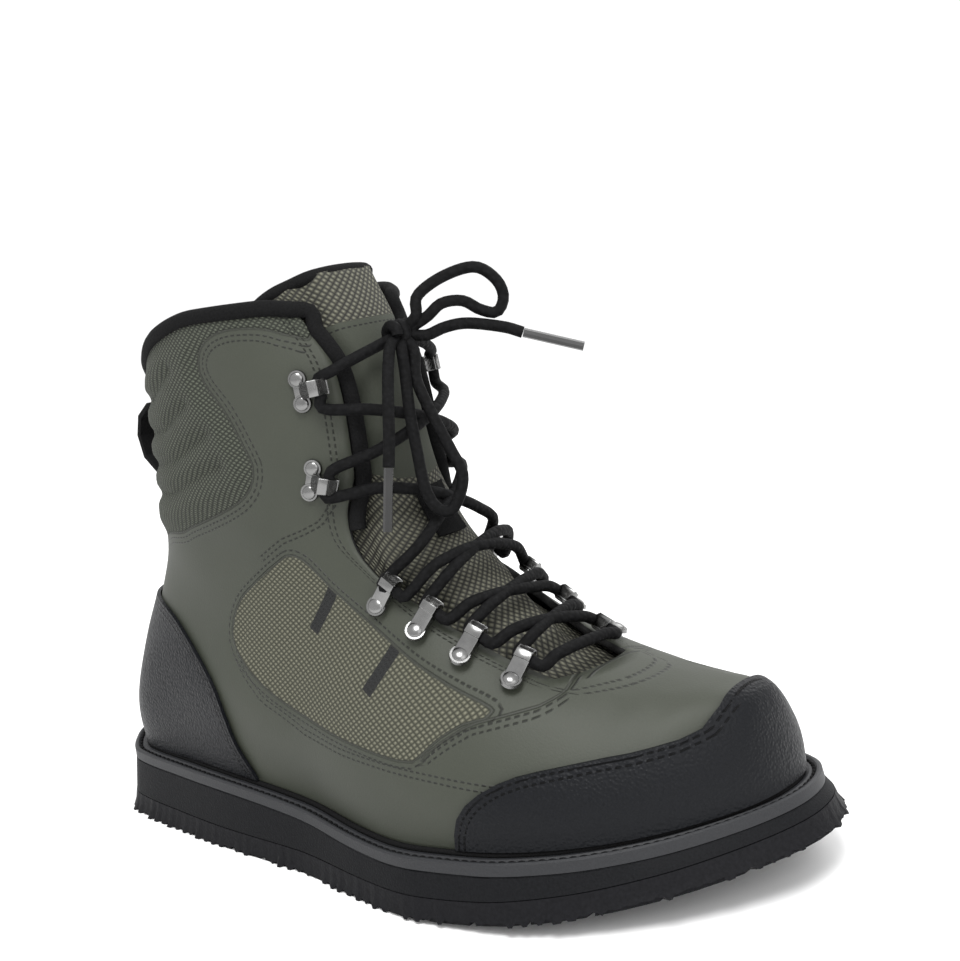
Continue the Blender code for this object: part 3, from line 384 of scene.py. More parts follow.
def smooth_table(places, values):
    """Return a smooth function through the rows of a table, with no overshoot between them."""
    places = np.array(places, float)
    values = np.array(values, float)
    step = np.diff(places)
    slope = np.diff(values) / step
    rate = np.zeros_like(values)
    product = slope[1:] * slope[:-1]
    total = slope[1:] + slope[:-1]
    total = np.where(total == 0, 1.0, total)
    rate[1:-1] = np.where(product > 0, 2 * product / total, 0.0)
    rate[0] = slope[0]
    rate[-1] = slope[-1]

    def value(x):
        x = np.clip(x, places[0], places[-1])
        i = np.clip(np.searchsorted(places, x) - 1, 0, len(step) - 1)
        t = (x - places[i]) / step[i]
        smooth = t * t * (3 - 2 * t)
        start = t * (1 - t) ** 2 * step[i] * rate[i]
        end = -t * t * (1 - t) * step[i] * rate[i + 1]
        return values[i] + (values[i + 1] - values[i]) * smooth + start + end

    return value


def column(table, index):
    """Return one column of a table."""
    return [row[index] for row in table]


def smooth_step(t):
    """Return a soft rise from 0 to 1."""
    t = np.clip(t, 0.0, 1.0)
    return t * t * (3 - 2 * t)


print("rows of the plan on a curve:", [round(v, 3) for v in column(PLAN, 0)][:4])

# %% [markdown]
# The sole is drawn flat and then bent up at the toe. The same bend moves every piece that lies
# on it, so the strip and the midsole stay together.

# %% Plan and bend of the sole


def plan_half_widths(inset):
    """Return the squares of the plan's lateral and medial half width, drawn in by inset."""
    sizes = {
        "heel": (HEEL_WIDTH / 2 - inset, HEEL_WIDTH / 2 - inset),
        "waist": (WAIST_LATERAL - inset, WAIST_MEDIAL - inset),
        "ball": (BALL_WIDTH / 2 - inset, BALL_WIDTH / 2 - inset),
    }
    shares = column(PLAN, 0)
    lateral = smooth_table(shares, [(row[2] * sizes[row[1]][0]) ** 2 for row in PLAN])
    medial = smooth_table(shares, [(row[3] * sizes[row[1]][1]) ** 2 for row in PLAN])
    return lateral, medial


def axis_shift(x):
    """Return how far the sole's centre line leans to the medial side."""
    return TOE_SHIFT * np.clip((x / SOLE_LENGTH - SHIFT_START) / (1 - SHIFT_START), 0, 1) ** 2


def ground_lift(x):
    """Return the height of the sole's underside: flat, then the toe spring."""
    return TOE_SPRING * np.clip((x / SOLE_LENGTH - SPRING_START) / (1 - SPRING_START), 0, 1) ** 2


def spring_slope(x):
    """Return the slope of the sole's underside."""
    share = np.clip((x / SOLE_LENGTH - SPRING_START) / (1 - SPRING_START), 0, 1)
    return 2 * TOE_SPRING * share / (1 - SPRING_START) / SOLE_LENGTH


def midsole_top(x):
    """Return the height of the midsole's top above the sole's underside."""
    waist = smooth_step((x / SOLE_LENGTH - 0.28) / 0.34)
    toe = smooth_step((x / SOLE_LENGTH - 0.66) / 0.34)
    return HEEL_HEIGHT + (BALL_HEIGHT - HEEL_HEIGHT) * waist + (TOE_HEIGHT - BALL_HEIGHT) * toe


def on_sole(x, y, height):
    """Return the point that lies height above the sprung underside."""
    slope = spring_slope(x)
    run = np.sqrt(1 + slope ** 2)
    return x - height * slope / run, y, ground_lift(x) + height / run


FLAT = np.linspace(0, SOLE_LENGTH, 81)
WORLD_X, _, WORLD_Z = on_sole(FLAT, 0.0, midsole_top(FLAT))
SOLE_TOP = smooth_table(WORLD_X, WORLD_Z)
FLAT_X = smooth_table(WORLD_X, FLAT)


def plan_outline(inset, count):
    """Return the closed plan outline of the flat sole, lateral side first, with round ends."""
    lateral, medial = plan_half_widths(inset)
    share = (1 - np.cos(np.linspace(0, pi, count))) / 2
    x = inset + share * (SOLE_LENGTH - 2 * inset)
    out = np.column_stack([x, axis_shift(x) - np.sqrt(np.maximum(lateral(share), 0))])
    back = np.column_stack([x, axis_shift(x) + np.sqrt(np.maximum(medial(share), 0))])
    return np.concatenate([out, back[::-1][1:-1]])


FOOT_TOP = smooth_table(column(FOOT, 0), [(top * INSTEP_HEIGHT) ** 2 for top in column(FOOT, 1)])
FOOT_SQUARE = smooth_table(column(FOOT, 0), column(FOOT, 2))
FOOT_BELLY = smooth_table(column(FOOT, 0), [share * SIDE_BULGE for share in column(FOOT, 3)])
FOOT_LATERAL, FOOT_MEDIAL = plan_half_widths(WELT_WIDTH)
SHAFT_PLACES = [share * COLLAR_HEIGHT for share in column(SHAFT, 0)]
SHAFT_REAR = smooth_table(SHAFT_PLACES, [SHAFT_BACK + k * SHAFT_LENGTH for k in column(SHAFT, 1)])
SHAFT_FRONT = smooth_table(SHAFT_PLACES, [SHAFT_BACK + k * SHAFT_LENGTH for k in column(SHAFT, 2)])
SHAFT_HALF = smooth_table(SHAFT_PLACES, [k * SHAFT_WIDTH for k in column(SHAFT, 3)])
COLLAR_LINE = smooth_table(
    [share * SOLE_LENGTH for share in column(COLLAR, 0)],
    [COLLAR_HEIGHT - row[1] * COLLAR_DIP - row[2] * COLLAR_SLOPE for row in COLLAR])
THROAT_HALF = smooth_table(column(THROAT, 0), [k * THROAT_WIDTH for k in column(THROAT, 1)])
print("points of the outline:", len(plan_outline(0.0, 60)))

# %% [markdown]
# Below the ankle the last is the foot, above it the shaft, and a soft minimum joins them. A ring
# is found by casting rays from the middle of the foot until they leave the last.

# %% Surface of the last


def last_distance(x, y, z):
    """Return roughly how far a point lies outside the last, negative inside it."""
    rise = z - SOLE_TOP(x)
    flat = FLAT_X(x)
    flat = flat + TOE_LEAN * np.clip(rise, 0, INSTEP_HEIGHT) * spring_slope(flat)
    share = (flat - WELT_WIDTH) / (SOLE_LENGTH - 2 * WELT_WIDTH)
    inside = (share > 0) & (share < 1)
    share = np.clip(share, 1e-4, 1 - 1e-4)
    top = np.sqrt(np.maximum(FOOT_TOP(share), 1e-8))
    square = FOOT_SQUARE(share)
    rise = np.clip(rise / top, 0, 3)
    across = y - axis_shift(flat)
    half = np.sqrt(np.maximum(np.where(across < 0, FOOT_LATERAL(share), FOOT_MEDIAL(share)), 1e-8))
    belly = np.clip(rise / 0.8, 0, 1)
    half = half + FOOT_BELLY(share) * (4 * belly * (1 - belly)) ** 2
    foot = ((np.abs(across) / half) ** square + rise ** square) ** (1 / square) - 1
    foot = np.where(inside, foot * np.minimum(half, 0.04), 0.1)
    rear = SHAFT_REAR(z)
    front = SHAFT_FRONT(z)
    width = SHAFT_HALF(z)
    along = np.abs(x - (rear + front) / 2) / ((front - rear) / 2)
    shaft = (along ** SHAFT_SQUARE + (np.abs(y) / width) ** SHAFT_SQUARE) ** (1 / SHAFT_SQUARE) - 1
    shaft = shaft * width
    overlap = np.clip(0.5 + 0.5 * (foot - shaft) / BLEND, 0, 1)
    return foot + (shaft - foot) * overlap - BLEND * overlap * (1 - overlap)


def sheet_height(x, level):
    """Return the height at x of the ring at this share of the collar line."""
    base = SOLE_TOP(x) + UPPER_SEAT
    return base + level * (COLLAR_LINE(x) - base)


def cast(origin, angle, side, level):
    """Return the points where rays along one ring's sheet leave the last."""
    near = np.zeros_like(origin)
    far = np.full_like(origin, SOLE_LENGTH)
    start = axis_shift(FLAT_X(origin))
    for _ in range(36):
        reach = (near + far) / 2
        x = origin + reach * np.cos(angle)
        y = start + side * reach * np.sin(angle)
        outside = last_distance(x, y, sheet_height(x, level)) > 0
        far = np.where(outside, reach, far)
        near = np.where(outside, near, reach)
    x = origin + near * np.cos(angle)
    y = start + side * near * np.sin(angle)
    return np.column_stack([x, y, sheet_height(x, level)])


half_way = sheet_height(np.array([SOLE_LENGTH / 2]), 0.5)
print("ring at half height, over the middle of the sole:", round(float(half_way[0]), 3), "m")

# %% [markdown]
# A section is cut by a fan of rays at each end and parallel rays between them. Resampled by
# length, it gives one ring: a few columns reach from the front to the throat's edge, and the
# others follow the side to the back. Sections are kept, because many pieces ask for the same.

# %% Sections and rings of the last


@lru_cache(maxsize=None)
def half_section(level, side):
    """Return one half of the section at this level, from the front round to the back."""
    middle = np.array([SHAFT_BACK + SHAFT_LENGTH / 2])
    fore = cast(middle, np.array([0.0]), side, level)[0][0] - FAN_RADIUS
    aft = cast(middle, np.array([pi]), side, level)[0][0] + FAN_RADIUS
    fan = np.linspace(0, pi / 2, FAN_RAYS)
    between = np.linspace(fore, aft, RUN_RAYS + 2)[1:-1]
    origin = np.concatenate([np.full(FAN_RAYS, fore), between, np.full(FAN_RAYS, aft)])
    angle = np.concatenate([fan, np.full(RUN_RAYS, pi / 2), fan + pi / 2])
    return cast(origin, angle, side, level)


def arc_lengths(points):
    """Return the length along a run of points."""
    return np.concatenate([[0.0], np.cumsum(np.linalg.norm(np.diff(points, axis=0), axis=1))])


def resample(points, stations):
    """Return points at these lengths along a run of points."""
    length = arc_lengths(points)
    return np.column_stack([np.interp(stations, length, points[:, k]) for k in range(3)])


def between_steps(level, find):
    """Return find's value at a level, blended from the two nearest steps."""
    below = int(level / LEVEL_STEP)
    share = level / LEVEL_STEP - below
    low, high = (find(round(step * LEVEL_STEP, 4)) for step in (below, below + 1))
    return low * (1 - share) + high * share


@lru_cache(maxsize=None)
def section_throat(level, side):
    """Return the length from the front to the throat's edge on one section."""
    points = half_section(level, side)[:FAN_RAYS]
    across = np.abs(points[:, 1] - points[0, 1])
    return float(np.interp(THROAT_HALF(level), across, arc_lengths(points)))


def throat_run(level, side):
    """Return the length along the surface from the front to the throat's edge."""
    return between_steps(max(level, THROAT_START), lambda step: section_throat(step, side))


def ring_half(level, side):
    """Return the grid points of one half ring, from the front to the back."""
    points = half_section(level, side)
    total = arc_lengths(points)[-1]
    edge = throat_run(level, side)
    if level < THROAT_START:
        low = TOE_SHARE * total
        edge = low + (edge - low) * level / THROAT_START
    front = np.linspace(0, edge, FRONT_COLUMNS + 1)[:-1]
    share = np.linspace(0, 1, SIDE_COLUMNS + 1)
    share = share + 0.1 * np.sin(pi * share)
    return resample(points, np.concatenate([front, edge + (total - edge) * share]))


def ring(level):
    """Return the grid points of one ring, from the back round the lateral side to the back."""
    lateral = ring_half(level, -1)
    medial = ring_half(level, 1)
    return np.concatenate([lateral[::-1], medial[1:]])


@lru_cache(maxsize=None)
def full_section(level):
    """Return the section's points and their lengths from its front, negative on the lateral side."""
    lateral = half_section(level, -1)
    medial = half_section(level, 1)
    points = np.concatenate([lateral[::-1], medial[1:]])
    runs = np.concatenate([-arc_lengths(lateral)[::-1], arc_lengths(medial)[1:]])
    return points, runs


print("grid of the upper:", len(RINGS), "rings of", RING_COLUMNS, "points")

# %% [markdown]
# A place on the upper is a level and a run, the length along the section from the front. These
# helpers turn it into a point and give the directions along, up and out there.

# %% Places on the last


def on_last(level, run):
    """Return the point of the last's surface at this level and length from the front."""
    def at_step(step):
        points, runs = full_section(step)
        return np.array([np.interp(run, runs, points[:, k]) for k in range(3)])

    return between_steps(level, at_step)


def directions(level, run):
    """Return the surface's unit normal, medial direction and upward direction."""
    along = on_last(level, run + 0.002) - on_last(level, run - 0.002)
    up = on_last(level + LEVEL_STEP, run) - on_last(level - LEVEL_STEP, run)
    normal = np.cross(along, up)
    normal = normal / np.linalg.norm(normal)
    along = along / np.linalg.norm(along)
    return normal, along, np.cross(normal, along)


def off_last(level, run, out):
    """Return the point that stands out from the last's surface."""
    return on_last(level, run) + directions(level, run)[0] * out


print("middle of the throat at half height:", [round(float(v), 3) for v in on_last(0.5, 0.0)])

# %% [markdown]
# Leather is cut flat and pulled into shape. Here a panel is a grid whose points are placed on
# the last, and the upper is the same with its throat left open.

# %% Grids and sheets


def edge_loop(bm, points):
    """Add a closed loop of edges through points."""
    verts = [bm.verts.new(point) for point in points]
    return [bm.edges.new(pair) for pair in zip(verts, verts[1:] + verts[:1])]


def placed_grid(points):
    """Return a bmesh grid through rows of points, faces outward, and each vertex's number."""
    rows = len(points) - 1
    columns = len(points[0]) - 1
    bm = bmesh.new()
    made = bmesh.ops.create_grid(bm, x_segments=columns, y_segments=rows, size=0.5)["verts"]
    order = []
    for vert in made:
        index = round((vert.co.x + 0.5) * columns)
        row = round((vert.co.y + 0.5) * rows)
        vert.co = Vector(points[row][index])
        order.append(row * (columns + 1) + index)
    return bm, order


def upper_sheet(first_row, last_row):
    """Return the upper's outer surface between two rings, with its throat open."""
    levels = RINGS[first_row:last_row + 1]
    rows, runs, heights = [], [], []
    for level in levels:
        row = ring(level)
        length = arc_lengths(row)
        rows.append(row)
        runs += list(np.abs(length - length[RING_COLUMNS // 2]))
        heights += [level] * len(row)
    bm, order = placed_grid(rows)
    for name, values in (("run", runs), ("level", heights)):
        set_values(bm, name, np.array(values)[order])
    throat = []
    bm.verts.index_update()
    for face in bm.faces:
        numbers = [order[vert.index] for vert in face.verts]
        columns = [number % (RING_COLUMNS + 1) for number in numbers]
        low_row = min(number // (RING_COLUMNS + 1) for number in numbers) + first_row
        in_front = SIDE_COLUMNS <= min(columns) and max(columns) <= RING_COLUMNS - SIDE_COLUMNS
        if in_front and low_row >= len(CLOSED_RINGS) - 1:
            throat.append(face)
    bmesh.ops.delete(bm, geom=throat, context="FACES")
    bmesh.ops.remove_doubles(bm, verts=bm.verts[:], dist=1e-6)
    inner = [vert for vert in bm.verts if not vert.is_boundary]
    for _ in range(SMOOTHING_PASSES):
        bmesh.ops.smooth_vert(bm, verts=inner, factor=0.5, use_axis_x=True, use_axis_y=True,
                              use_axis_z=True)
    return bm


def band_outline(path, thickness):
    """Return the closed outline of a strip with this thickness about a path."""
    points = np.array(path, float)
    step = np.diff(points, axis=0)
    step = step / np.linalg.norm(step, axis=1)[:, None]
    side = np.column_stack([-step[:, 1], step[:, 0]])
    mean = np.vstack([side[:1], side[1:] + side[:-1], side[-1:]])
    mean = mean / np.linalg.norm(mean, axis=1)[:, None]
    first = np.vstack([side[:1], side])
    reach = thickness / 2 / np.sum(mean * first, axis=1)[:, None]
    return np.concatenate([points + mean * reach, (points - mean * reach)[::-1]])


print("rings of the closed part:", len(CLOSED_RINGS))

# %% [markdown]
# Edges, laces and pipings follow smooth paths. A path goes through a few places and is spaced
# evenly, and the throat's edge gives most of the places.

# %% Paths along the boot


def smooth_path(points, spacing):
    """Return evenly spaced points on the smooth curve through these points."""
    points = np.array(points, float)
    ends = np.vstack([2 * points[0] - points[1], points, 2 * points[-1] - points[-2]])
    fine = []
    for a, b, c, d in zip(ends, ends[1:], ends[2:], ends[3:]):
        for t in np.linspace(0, 1, 12, endpoint=False):
            fine.append(0.5 * (2 * b + (c - a) * t + (2 * a - 5 * b + 4 * c - d) * t ** 2
                               + (3 * b - a - 3 * c + d) * t ** 3))
    fine = np.array(fine + [points[-1]])
    total = arc_lengths(fine)[-1]
    return resample(fine, np.linspace(0, total, max(2, round(total / spacing)) + 1))


def throat_edge(level, side, setback=0.0):
    """Return the signed length from the front at which the throat's edge lies."""
    return side * (throat_run(level, side) + setback)


def level_along(level, distance, side, setback=0.0):
    """Return the level that lies this far up along the throat's edge."""
    step = 0.01
    low = on_last(level - step, throat_edge(level - step, side, setback))
    high = on_last(level + step, throat_edge(level + step, side, setback))
    return level + distance * 2 * step / float(np.linalg.norm(high - low))


print("throat edge at its start:", round(float(throat_edge(THROAT_START, -1)), 4))

# %% [markdown]
# Eyelets and hooks sit flat on the upper, and laces are pulled straight between them, down on
# the tongue. These helpers find both.

# %% Places of fittings and laces


def fitting_place(level, side, setback):
    """Return the placing of a metal fitting: X to the throat, Y along its edge, Z out."""
    run = throat_edge(level, side, setback)
    origin = on_last(level, run)
    out = directions(level, run)[0]
    high = level_along(level, 0.004, side, setback)
    low = level_along(level, -0.004, side, setback)
    edge = on_last(high, throat_edge(high, side, setback))
    edge = edge - on_last(low, throat_edge(low, side, setback))
    edge = edge - out * edge.dot(out)
    edge = edge / np.linalg.norm(edge)
    inward = np.cross(edge, out) * -side
    place = Matrix.Identity(4)
    for k, axis in enumerate((inward, edge * -side, out)):
        place.col[k] = Vector((*axis, 0.0))
    place.col[3] = Vector((*origin, 1.0))
    return place


def bend(centre, radius, start, end, count):
    """Return points round part of a circle, with angles in half turns."""
    angles = np.linspace(start * pi, end * pi, count)
    return [(centre[0] + radius * cos(a), centre[1] + radius * sin(a)) for a in angles]


def strand(low, high):
    """Return points of a strand drawn tight over the boot between two places."""
    first = off_last(*low, LACE_HEIGHT)
    last = off_last(*high, LACE_HEIGHT)
    out = directions(*low)[0] + directions(*high)[0]
    out = out / np.linalg.norm(out)
    points = []
    for share in np.linspace(0, 1, LACE_STATIONS + 1):
        point = first + (last - first) * share
        near, far = 0.0, INSTEP_HEIGHT / 2
        for _ in range(20 if 0 < share < 1 else 0):
            reach = (near + far) / 2
            if last_distance(*(point + out * reach)) > LACE_HEIGHT:
                far = reach
            else:
                near = reach
        points.append(point + out * near)
    return points


def drop_to(level, share):
    """Return the tongue's level at this share of its width, lower at the corners of its top."""
    return level - TONGUE_DROOP * share ** 2 * smooth_step((level - 0.6) / 0.4)


def binding_points():
    """Return the line of the padded piping round the collar and down both edges of the throat."""
    rise = BINDING_DIAMETER / 2 + BINDING_GAP
    sides = []
    for side, index in ((-1, SIDE_COLUMNS), (1, RING_COLUMNS - SIDE_COLUMNS)):
        points = []
        for level in [level for level in OPEN_RINGS if level >= BINDING_START]:
            out, medial, up = directions(min(level, 0.99), throat_edge(min(level, 0.99), side))
            point = Vector(ring(level)[index]) - Vector(out) * WALL / 2 - Vector(medial) * side * rise
            points.append(point + (Vector(up) * rise if level == 1.0 else Vector()))
        sides.append(points)
    top = ring(1.0)
    places = [index % RING_COLUMNS for index in range(SIDE_COLUMNS - 1, -SIDE_COLUMNS, -1)]
    collar = []
    for index in places:
        before = Vector(top[index - 1])
        after = Vector(top[(index + 1) % RING_COLUMNS])
        medial = (after - before) if index else Vector((0, 1, 0))
        point = Vector(top[index])
        flat = Vector((medial.y, -medial.x, 0)).normalized()
        collar.append(point - flat * WALL / 2 + Vector((0, 0, 1)) * rise * BINDING_RISE)
    return sides[0] + collar + sides[1][::-1]


print("places along the collar's edge:", len(binding_points()))

# %% [markdown]
# ## Helpers for pieces
# Each piece starts from a bmesh grid, whose points are set on the last, or from a tube drawn
# along a smooth path. Short helpers place a piece, give it its materials and let it ride.

# %% Piece helpers
BODY = "root"


def finished(name, bm, slot, *materials, smooth_angle=0.8):
    """Make a piece from a bmesh, in the model's own frame."""
    bmesh.ops.translate(bm, verts=bm.verts[:], vec=-ORIGIN)
    mesh = bpy.data.meshes.new(name)
    bm.to_mesh(mesh)
    bm.free()
    for finish in materials:
        mesh.materials.append(finish)
    mesh.shade_smooth()
    mesh.set_sharp_from_angle(angle=smooth_angle)
    piece = linked(name, mesh)
    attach(piece, BODY)
    print(name, len(mesh.polygons), "faces")
    return piece


def set_values(bm, name, values):
    """Store one number for each vertex, for a material to read."""
    layer = bm.verts.layers.float.get(name) or bm.verts.layers.float.new(name)
    for vert, value in zip(bm.verts, values):
        vert[layer] = float(value)


def thickened(piece, thickness, offset=-1.0, lining=1):
    """Give a sheet its wall: inward with a lining, or outward without one."""
    wall = piece.modifiers.new("wall", "SOLIDIFY")
    wall.thickness = thickness
    wall.offset = offset
    wall.material_offset = lining
    wall.material_offset_rim = lining


def border_distance(places, corners, closed=True):
    """Return each place's distance from a border, negative inside or to its right, and how far along."""
    line = np.array(corners, float)
    if closed:
        line = np.vstack([line, line[:1]])
    best = np.full(len(places), 1e9)
    along = np.zeros(len(places))
    inside = np.zeros(len(places), bool)
    beyond = np.ones(len(places))
    walked = 0.0
    for start, end in zip(line, line[1:]):
        step = end - start
        length = np.linalg.norm(step)
        reach = places - start
        share = np.clip(reach @ step / length ** 2, 0, 1)
        gap = np.linalg.norm(reach - share[:, None] * step, axis=1)
        nearer = gap < best
        best = np.where(nearer, gap, best)
        along = np.where(nearer, walked + share * length, along)
        beyond = np.where(nearer, np.sign(step[0] * reach[:, 1] - step[1] * reach[:, 0]), beyond)
        walked += length
        crosses = (start[1] > places[:, 1]) != (end[1] > places[:, 1])
        height = end[1] - start[1] if end[1] != start[1] else 1e-9
        cut = start[0] + (places[:, 1] - start[1]) * step[0] / height
        inside ^= crosses & (places[:, 0] < cut)
    return (np.where(inside, -best, best) if closed else best * beyond), along


def rounded(corners, spacing=0.004):
    """Return a border with its corners drawn as a smooth closed line."""
    flat = [(x, 0.0, z) for x, z in corners]
    path = smooth_path(flat + flat[:1], spacing)
    return [(point[0], point[2]) for point in path[:-1]]


# %% [markdown]
# ## Helpers for materials
# Node trees grow long, so a small class writes them as sums: `m` adds a maths node, `value` reads
# a number that a piece stored on its points, and `below` turns a distance into a soft mask.
# Stitches are drawn by two numbers, how far a point is from a seam and how far along it.

# %% Material helper


class Finish:
    """A Principled material that is written as sums of node outputs."""

    def __init__(self, name, roughness=0.6, metallic=0.0, specular=0.35):
        self.material = bpy.data.materials.new(name)
        self.material.use_nodes = True
        self.nodes = self.material.node_tree.nodes
        self.links = self.material.node_tree.links
        self.shader = self.nodes["Principled BSDF"]
        self.shader.inputs["Roughness"].default_value = roughness
        self.shader.inputs["Metallic"].default_value = metallic
        self.shader.inputs["Specular IOR Level"].default_value = specular

    def link(self, source, socket):
        """Set an input to a number or a colour, or join it to an output."""
        if isinstance(source, (int, float)):
            socket.default_value = source
        elif isinstance(source, tuple):
            socket.default_value = (*source, 1.0) if len(source) == 3 else source
        else:
            self.links.new(source, socket)

    def m(self, operation, a, b=0.0, c=0.0):
        """Return the output of a maths node."""
        node = self.nodes.new("ShaderNodeMath")
        node.operation = operation
        for socket, source in zip(node.inputs, (a, b, c)):
            self.link(source, socket)
        return node.outputs[0]

    def value(self, name):
        """Return a number that the piece stores on its points."""
        node = self.nodes.new("ShaderNodeAttribute")
        node.attribute_name = name
        return node.outputs["Fac"]

    def below(self, source, edge, soft=0.0004):
        """Return 1 where a number is under an edge, with a soft change."""
        node = self.nodes.new("ShaderNodeMapRange")
        self.link(source, node.inputs["Value"])
        for name, number in (("From Min", edge - soft), ("From Max", edge + soft),
                             ("To Min", 1.0), ("To Max", 0.0)):
            node.inputs[name].default_value = number
        return node.outputs["Result"]

    def band(self, source, centre, half, soft=0.0002):
        """Return 1 in a band about a number."""
        return self.below(self.m("ABSOLUTE", self.m("SUBTRACT", source, centre)), half, soft)

    def stitches(self, distance, along, offset, pitch=0.0025, width=0.00024):
        """Return dashes that follow a border at this distance from it."""
        dash = self.m("FRACT", self.m("DIVIDE", along, pitch))
        return self.m("MULTIPLY", self.band(distance, offset, width), self.below(dash, 0.60, 0.10))

    def sewn(self, name, offsets, corners, **sizes):
        """Return rows of stitches beside an open seam, which end where the seam ends."""
        total = float(arc_lengths(np.array(corners))[-1])
        along = self.value(name + "_run")
        rows = 0.0
        for offset in offsets:
            rows = self.m("MAXIMUM", rows, self.stitches(self.value(name), along, offset, **sizes))
        return self.m("MULTIPLY", rows, self.band(along, total / 2, total / 2 - 0.0008, 0.0003))

    def bar(self, start, end, width):
        """Return 1 inside a straight bar of the side view."""
        x, _, z = self.axes()
        length = np.hypot(end[0] - start[0], end[1] - start[1])
        across, up = (end[0] - start[0]) / length, (end[1] - start[1]) / length
        x = self.m("SUBTRACT", x, (start[0] + end[0]) / 2 - ORIGIN.x)
        z = self.m("SUBTRACT", z, (start[1] + end[1]) / 2)
        u = self.m("ADD", self.m("MULTIPLY", x, across), self.m("MULTIPLY", z, up))
        v = self.m("SUBTRACT", self.m("MULTIPLY", z, across), self.m("MULTIPLY", x, up))
        return self.m("MULTIPLY", self.band(v, 0.0, width / 2, 0.0001),
                      self.band(u, 0.0, length / 2, 0.0001))

    def mix(self, share, low, high):
        """Return a blend of two colours."""
        node = self.nodes.new("ShaderNodeMix")
        node.data_type = "RGBA"
        self.link(share, node.inputs["Factor"])
        self.link(low, node.inputs["A"])
        self.link(high, node.inputs["B"])
        return node.outputs["Result"]

    def place(self):
        """Return the place on the object."""
        return self.nodes.new("ShaderNodeTexCoord").outputs["Object"]

    def axes(self):
        """Return the three object coordinates."""
        node = self.nodes.new("ShaderNodeSeparateXYZ")
        self.links.new(self.place(), node.inputs[0])
        return node.outputs[0], node.outputs[1], node.outputs[2]

    def noise(self, scale, detail=2.0):
        """Return a soft random pattern."""
        node = self.nodes.new("ShaderNodeTexNoise")
        node.inputs["Scale"].default_value = scale
        node.inputs["Detail"].default_value = detail
        self.links.new(self.place(), node.inputs["Vector"])
        return node.outputs["Fac"]

    def cells(self, scale):
        """Return rounded cells, like pebbled leather or a braid."""
        node = self.nodes.new("ShaderNodeTexVoronoi")
        node.feature = "SMOOTH_F1"
        node.inputs["Scale"].default_value = scale
        self.links.new(self.place(), node.inputs["Vector"])
        return node.outputs["Distance"]

    def wave(self, source, pitch):
        """Return a smooth ripple from 0 to 1 along a length."""
        ripple = self.m("SINE", self.m("MULTIPLY", source, 2 * pi / pitch))
        return self.m("MULTIPLY_ADD", ripple, 0.5, 0.5)

    def weave(self, across, along, pitch_across, pitch_along):
        """Return the height of a cloth whose threads cross on the slant."""
        slant = self.m("MULTIPLY", along, pitch_across / pitch_along)
        over = self.wave(self.m("ADD", across, slant), pitch_across * 2)
        under = self.wave(self.m("SUBTRACT", across, slant), pitch_across * 2)
        return self.m("MULTIPLY", over, under)

    def colour(self, source):
        """Set the colour."""
        self.link(source, self.shader.inputs["Base Color"])

    def roughness(self, source):
        """Set the roughness."""
        self.link(source, self.shader.inputs["Roughness"])

    def bump(self, height, depth):
        """Set the relief from a height and its depth in metres."""
        node = self.nodes.new("ShaderNodeBump")
        node.inputs["Distance"].default_value = depth
        node.inputs["Strength"].default_value = 1.0
        self.link(height, node.inputs["Height"])
        self.links.new(node.outputs["Normal"], self.shader.inputs["Normal"])


print("materials are written with the class", Finish.__name__)

# %% [markdown]
# ## Plain finishes
# Rubber, webbing, metal and cord need only grain: a fine noise that breaks up their colour, and
# a shallow bump.

# %% Plain finishes


def grained(name, dark, light, roughness, scale, depth, **extra):
    """Return a finish with a fine two-colour grain."""
    finish = Finish(name, roughness=roughness, **extra)
    grain = finish.noise(scale, 3.0)
    finish.colour(finish.mix(grain, dark, light))
    finish.bump(grain, depth)
    return finish


OUTSOLE_RUBBER = grained("outsole_rubber", (0.003, 0.003, 0.0035), (0.013, 0.013, 0.015),
                         0.55, 900, 0.0002, specular=0.08)
MIDSOLE_FOAM = grained("midsole_foam", (0.003, 0.003, 0.0035), (0.011, 0.0115, 0.013),
                       0.6, 1400, 0.00025, specular=0.08)
WELT_STRIP = grained("welt_strip", (0.008, 0.0085, 0.010), (0.022, 0.023, 0.026),
                     0.55, 1600, 0.00015)
FOOTBED_CLOTH = grained("footbed_cloth", (0.010, 0.010, 0.010), (0.035, 0.035, 0.035),
                        0.95, 1200, 0.0002)
WEBBING = grained("black_webbing", (0.002, 0.002, 0.002), (0.010, 0.010, 0.0105),
                  0.8, 1500, 0.0003, specular=0.08)
METAL = grained("dark_nickel", (0.13, 0.13, 0.13), (0.27, 0.27, 0.265),
                0.24, 220, 0.00002, metallic=1.0, specular=0.5)
CLEAR_TIP = grained("smoky_tip", (0.010, 0.010, 0.010), (0.030, 0.030, 0.030),
                    0.22, 60, 0.00001, specular=0.5)

LACE = Finish("braided_lace", roughness=0.75, specular=0.1)
turns = LACE.cells(620)
LACE.colour(LACE.mix(turns, (0.0065, 0.0065, 0.007), (0.001, 0.001, 0.001)))
LACE.bump(LACE.m("SUBTRACT", 1.0, turns), 0.0005)
print("plain finishes ready")

# %% [markdown]
# ## The lace
# One round lace runs from the knot down to the bar over the toe and back up. At each crossing the
# strand that climbs to the medial side lies over the other. It could be a curve, but a curve can't
# pass through loops and keep a braid pattern of even size, so the path is worked out first, from
# loop to loop, and then drawn as a tube.

# %% Lace path
LOOP_CLEAR = 0.002
LACE_STEP = 0.0016


def loop_stop(number):
    """Return one loop's level, its lace's distance behind the throat's edge and half width."""
    if number < len(EYELETS):
        return EYELETS[number], LACE_INSIDE - EYELET_REACH, EYELET_WIDTH / 2 + LOOP_CLEAR
    setback = HOOK_SETBACK - HOOK_REACH + LACE_INSIDE
    return HOOKS[number - len(EYELETS)], setback, HOOK_WIDTH / 2 + LOOP_CLEAR


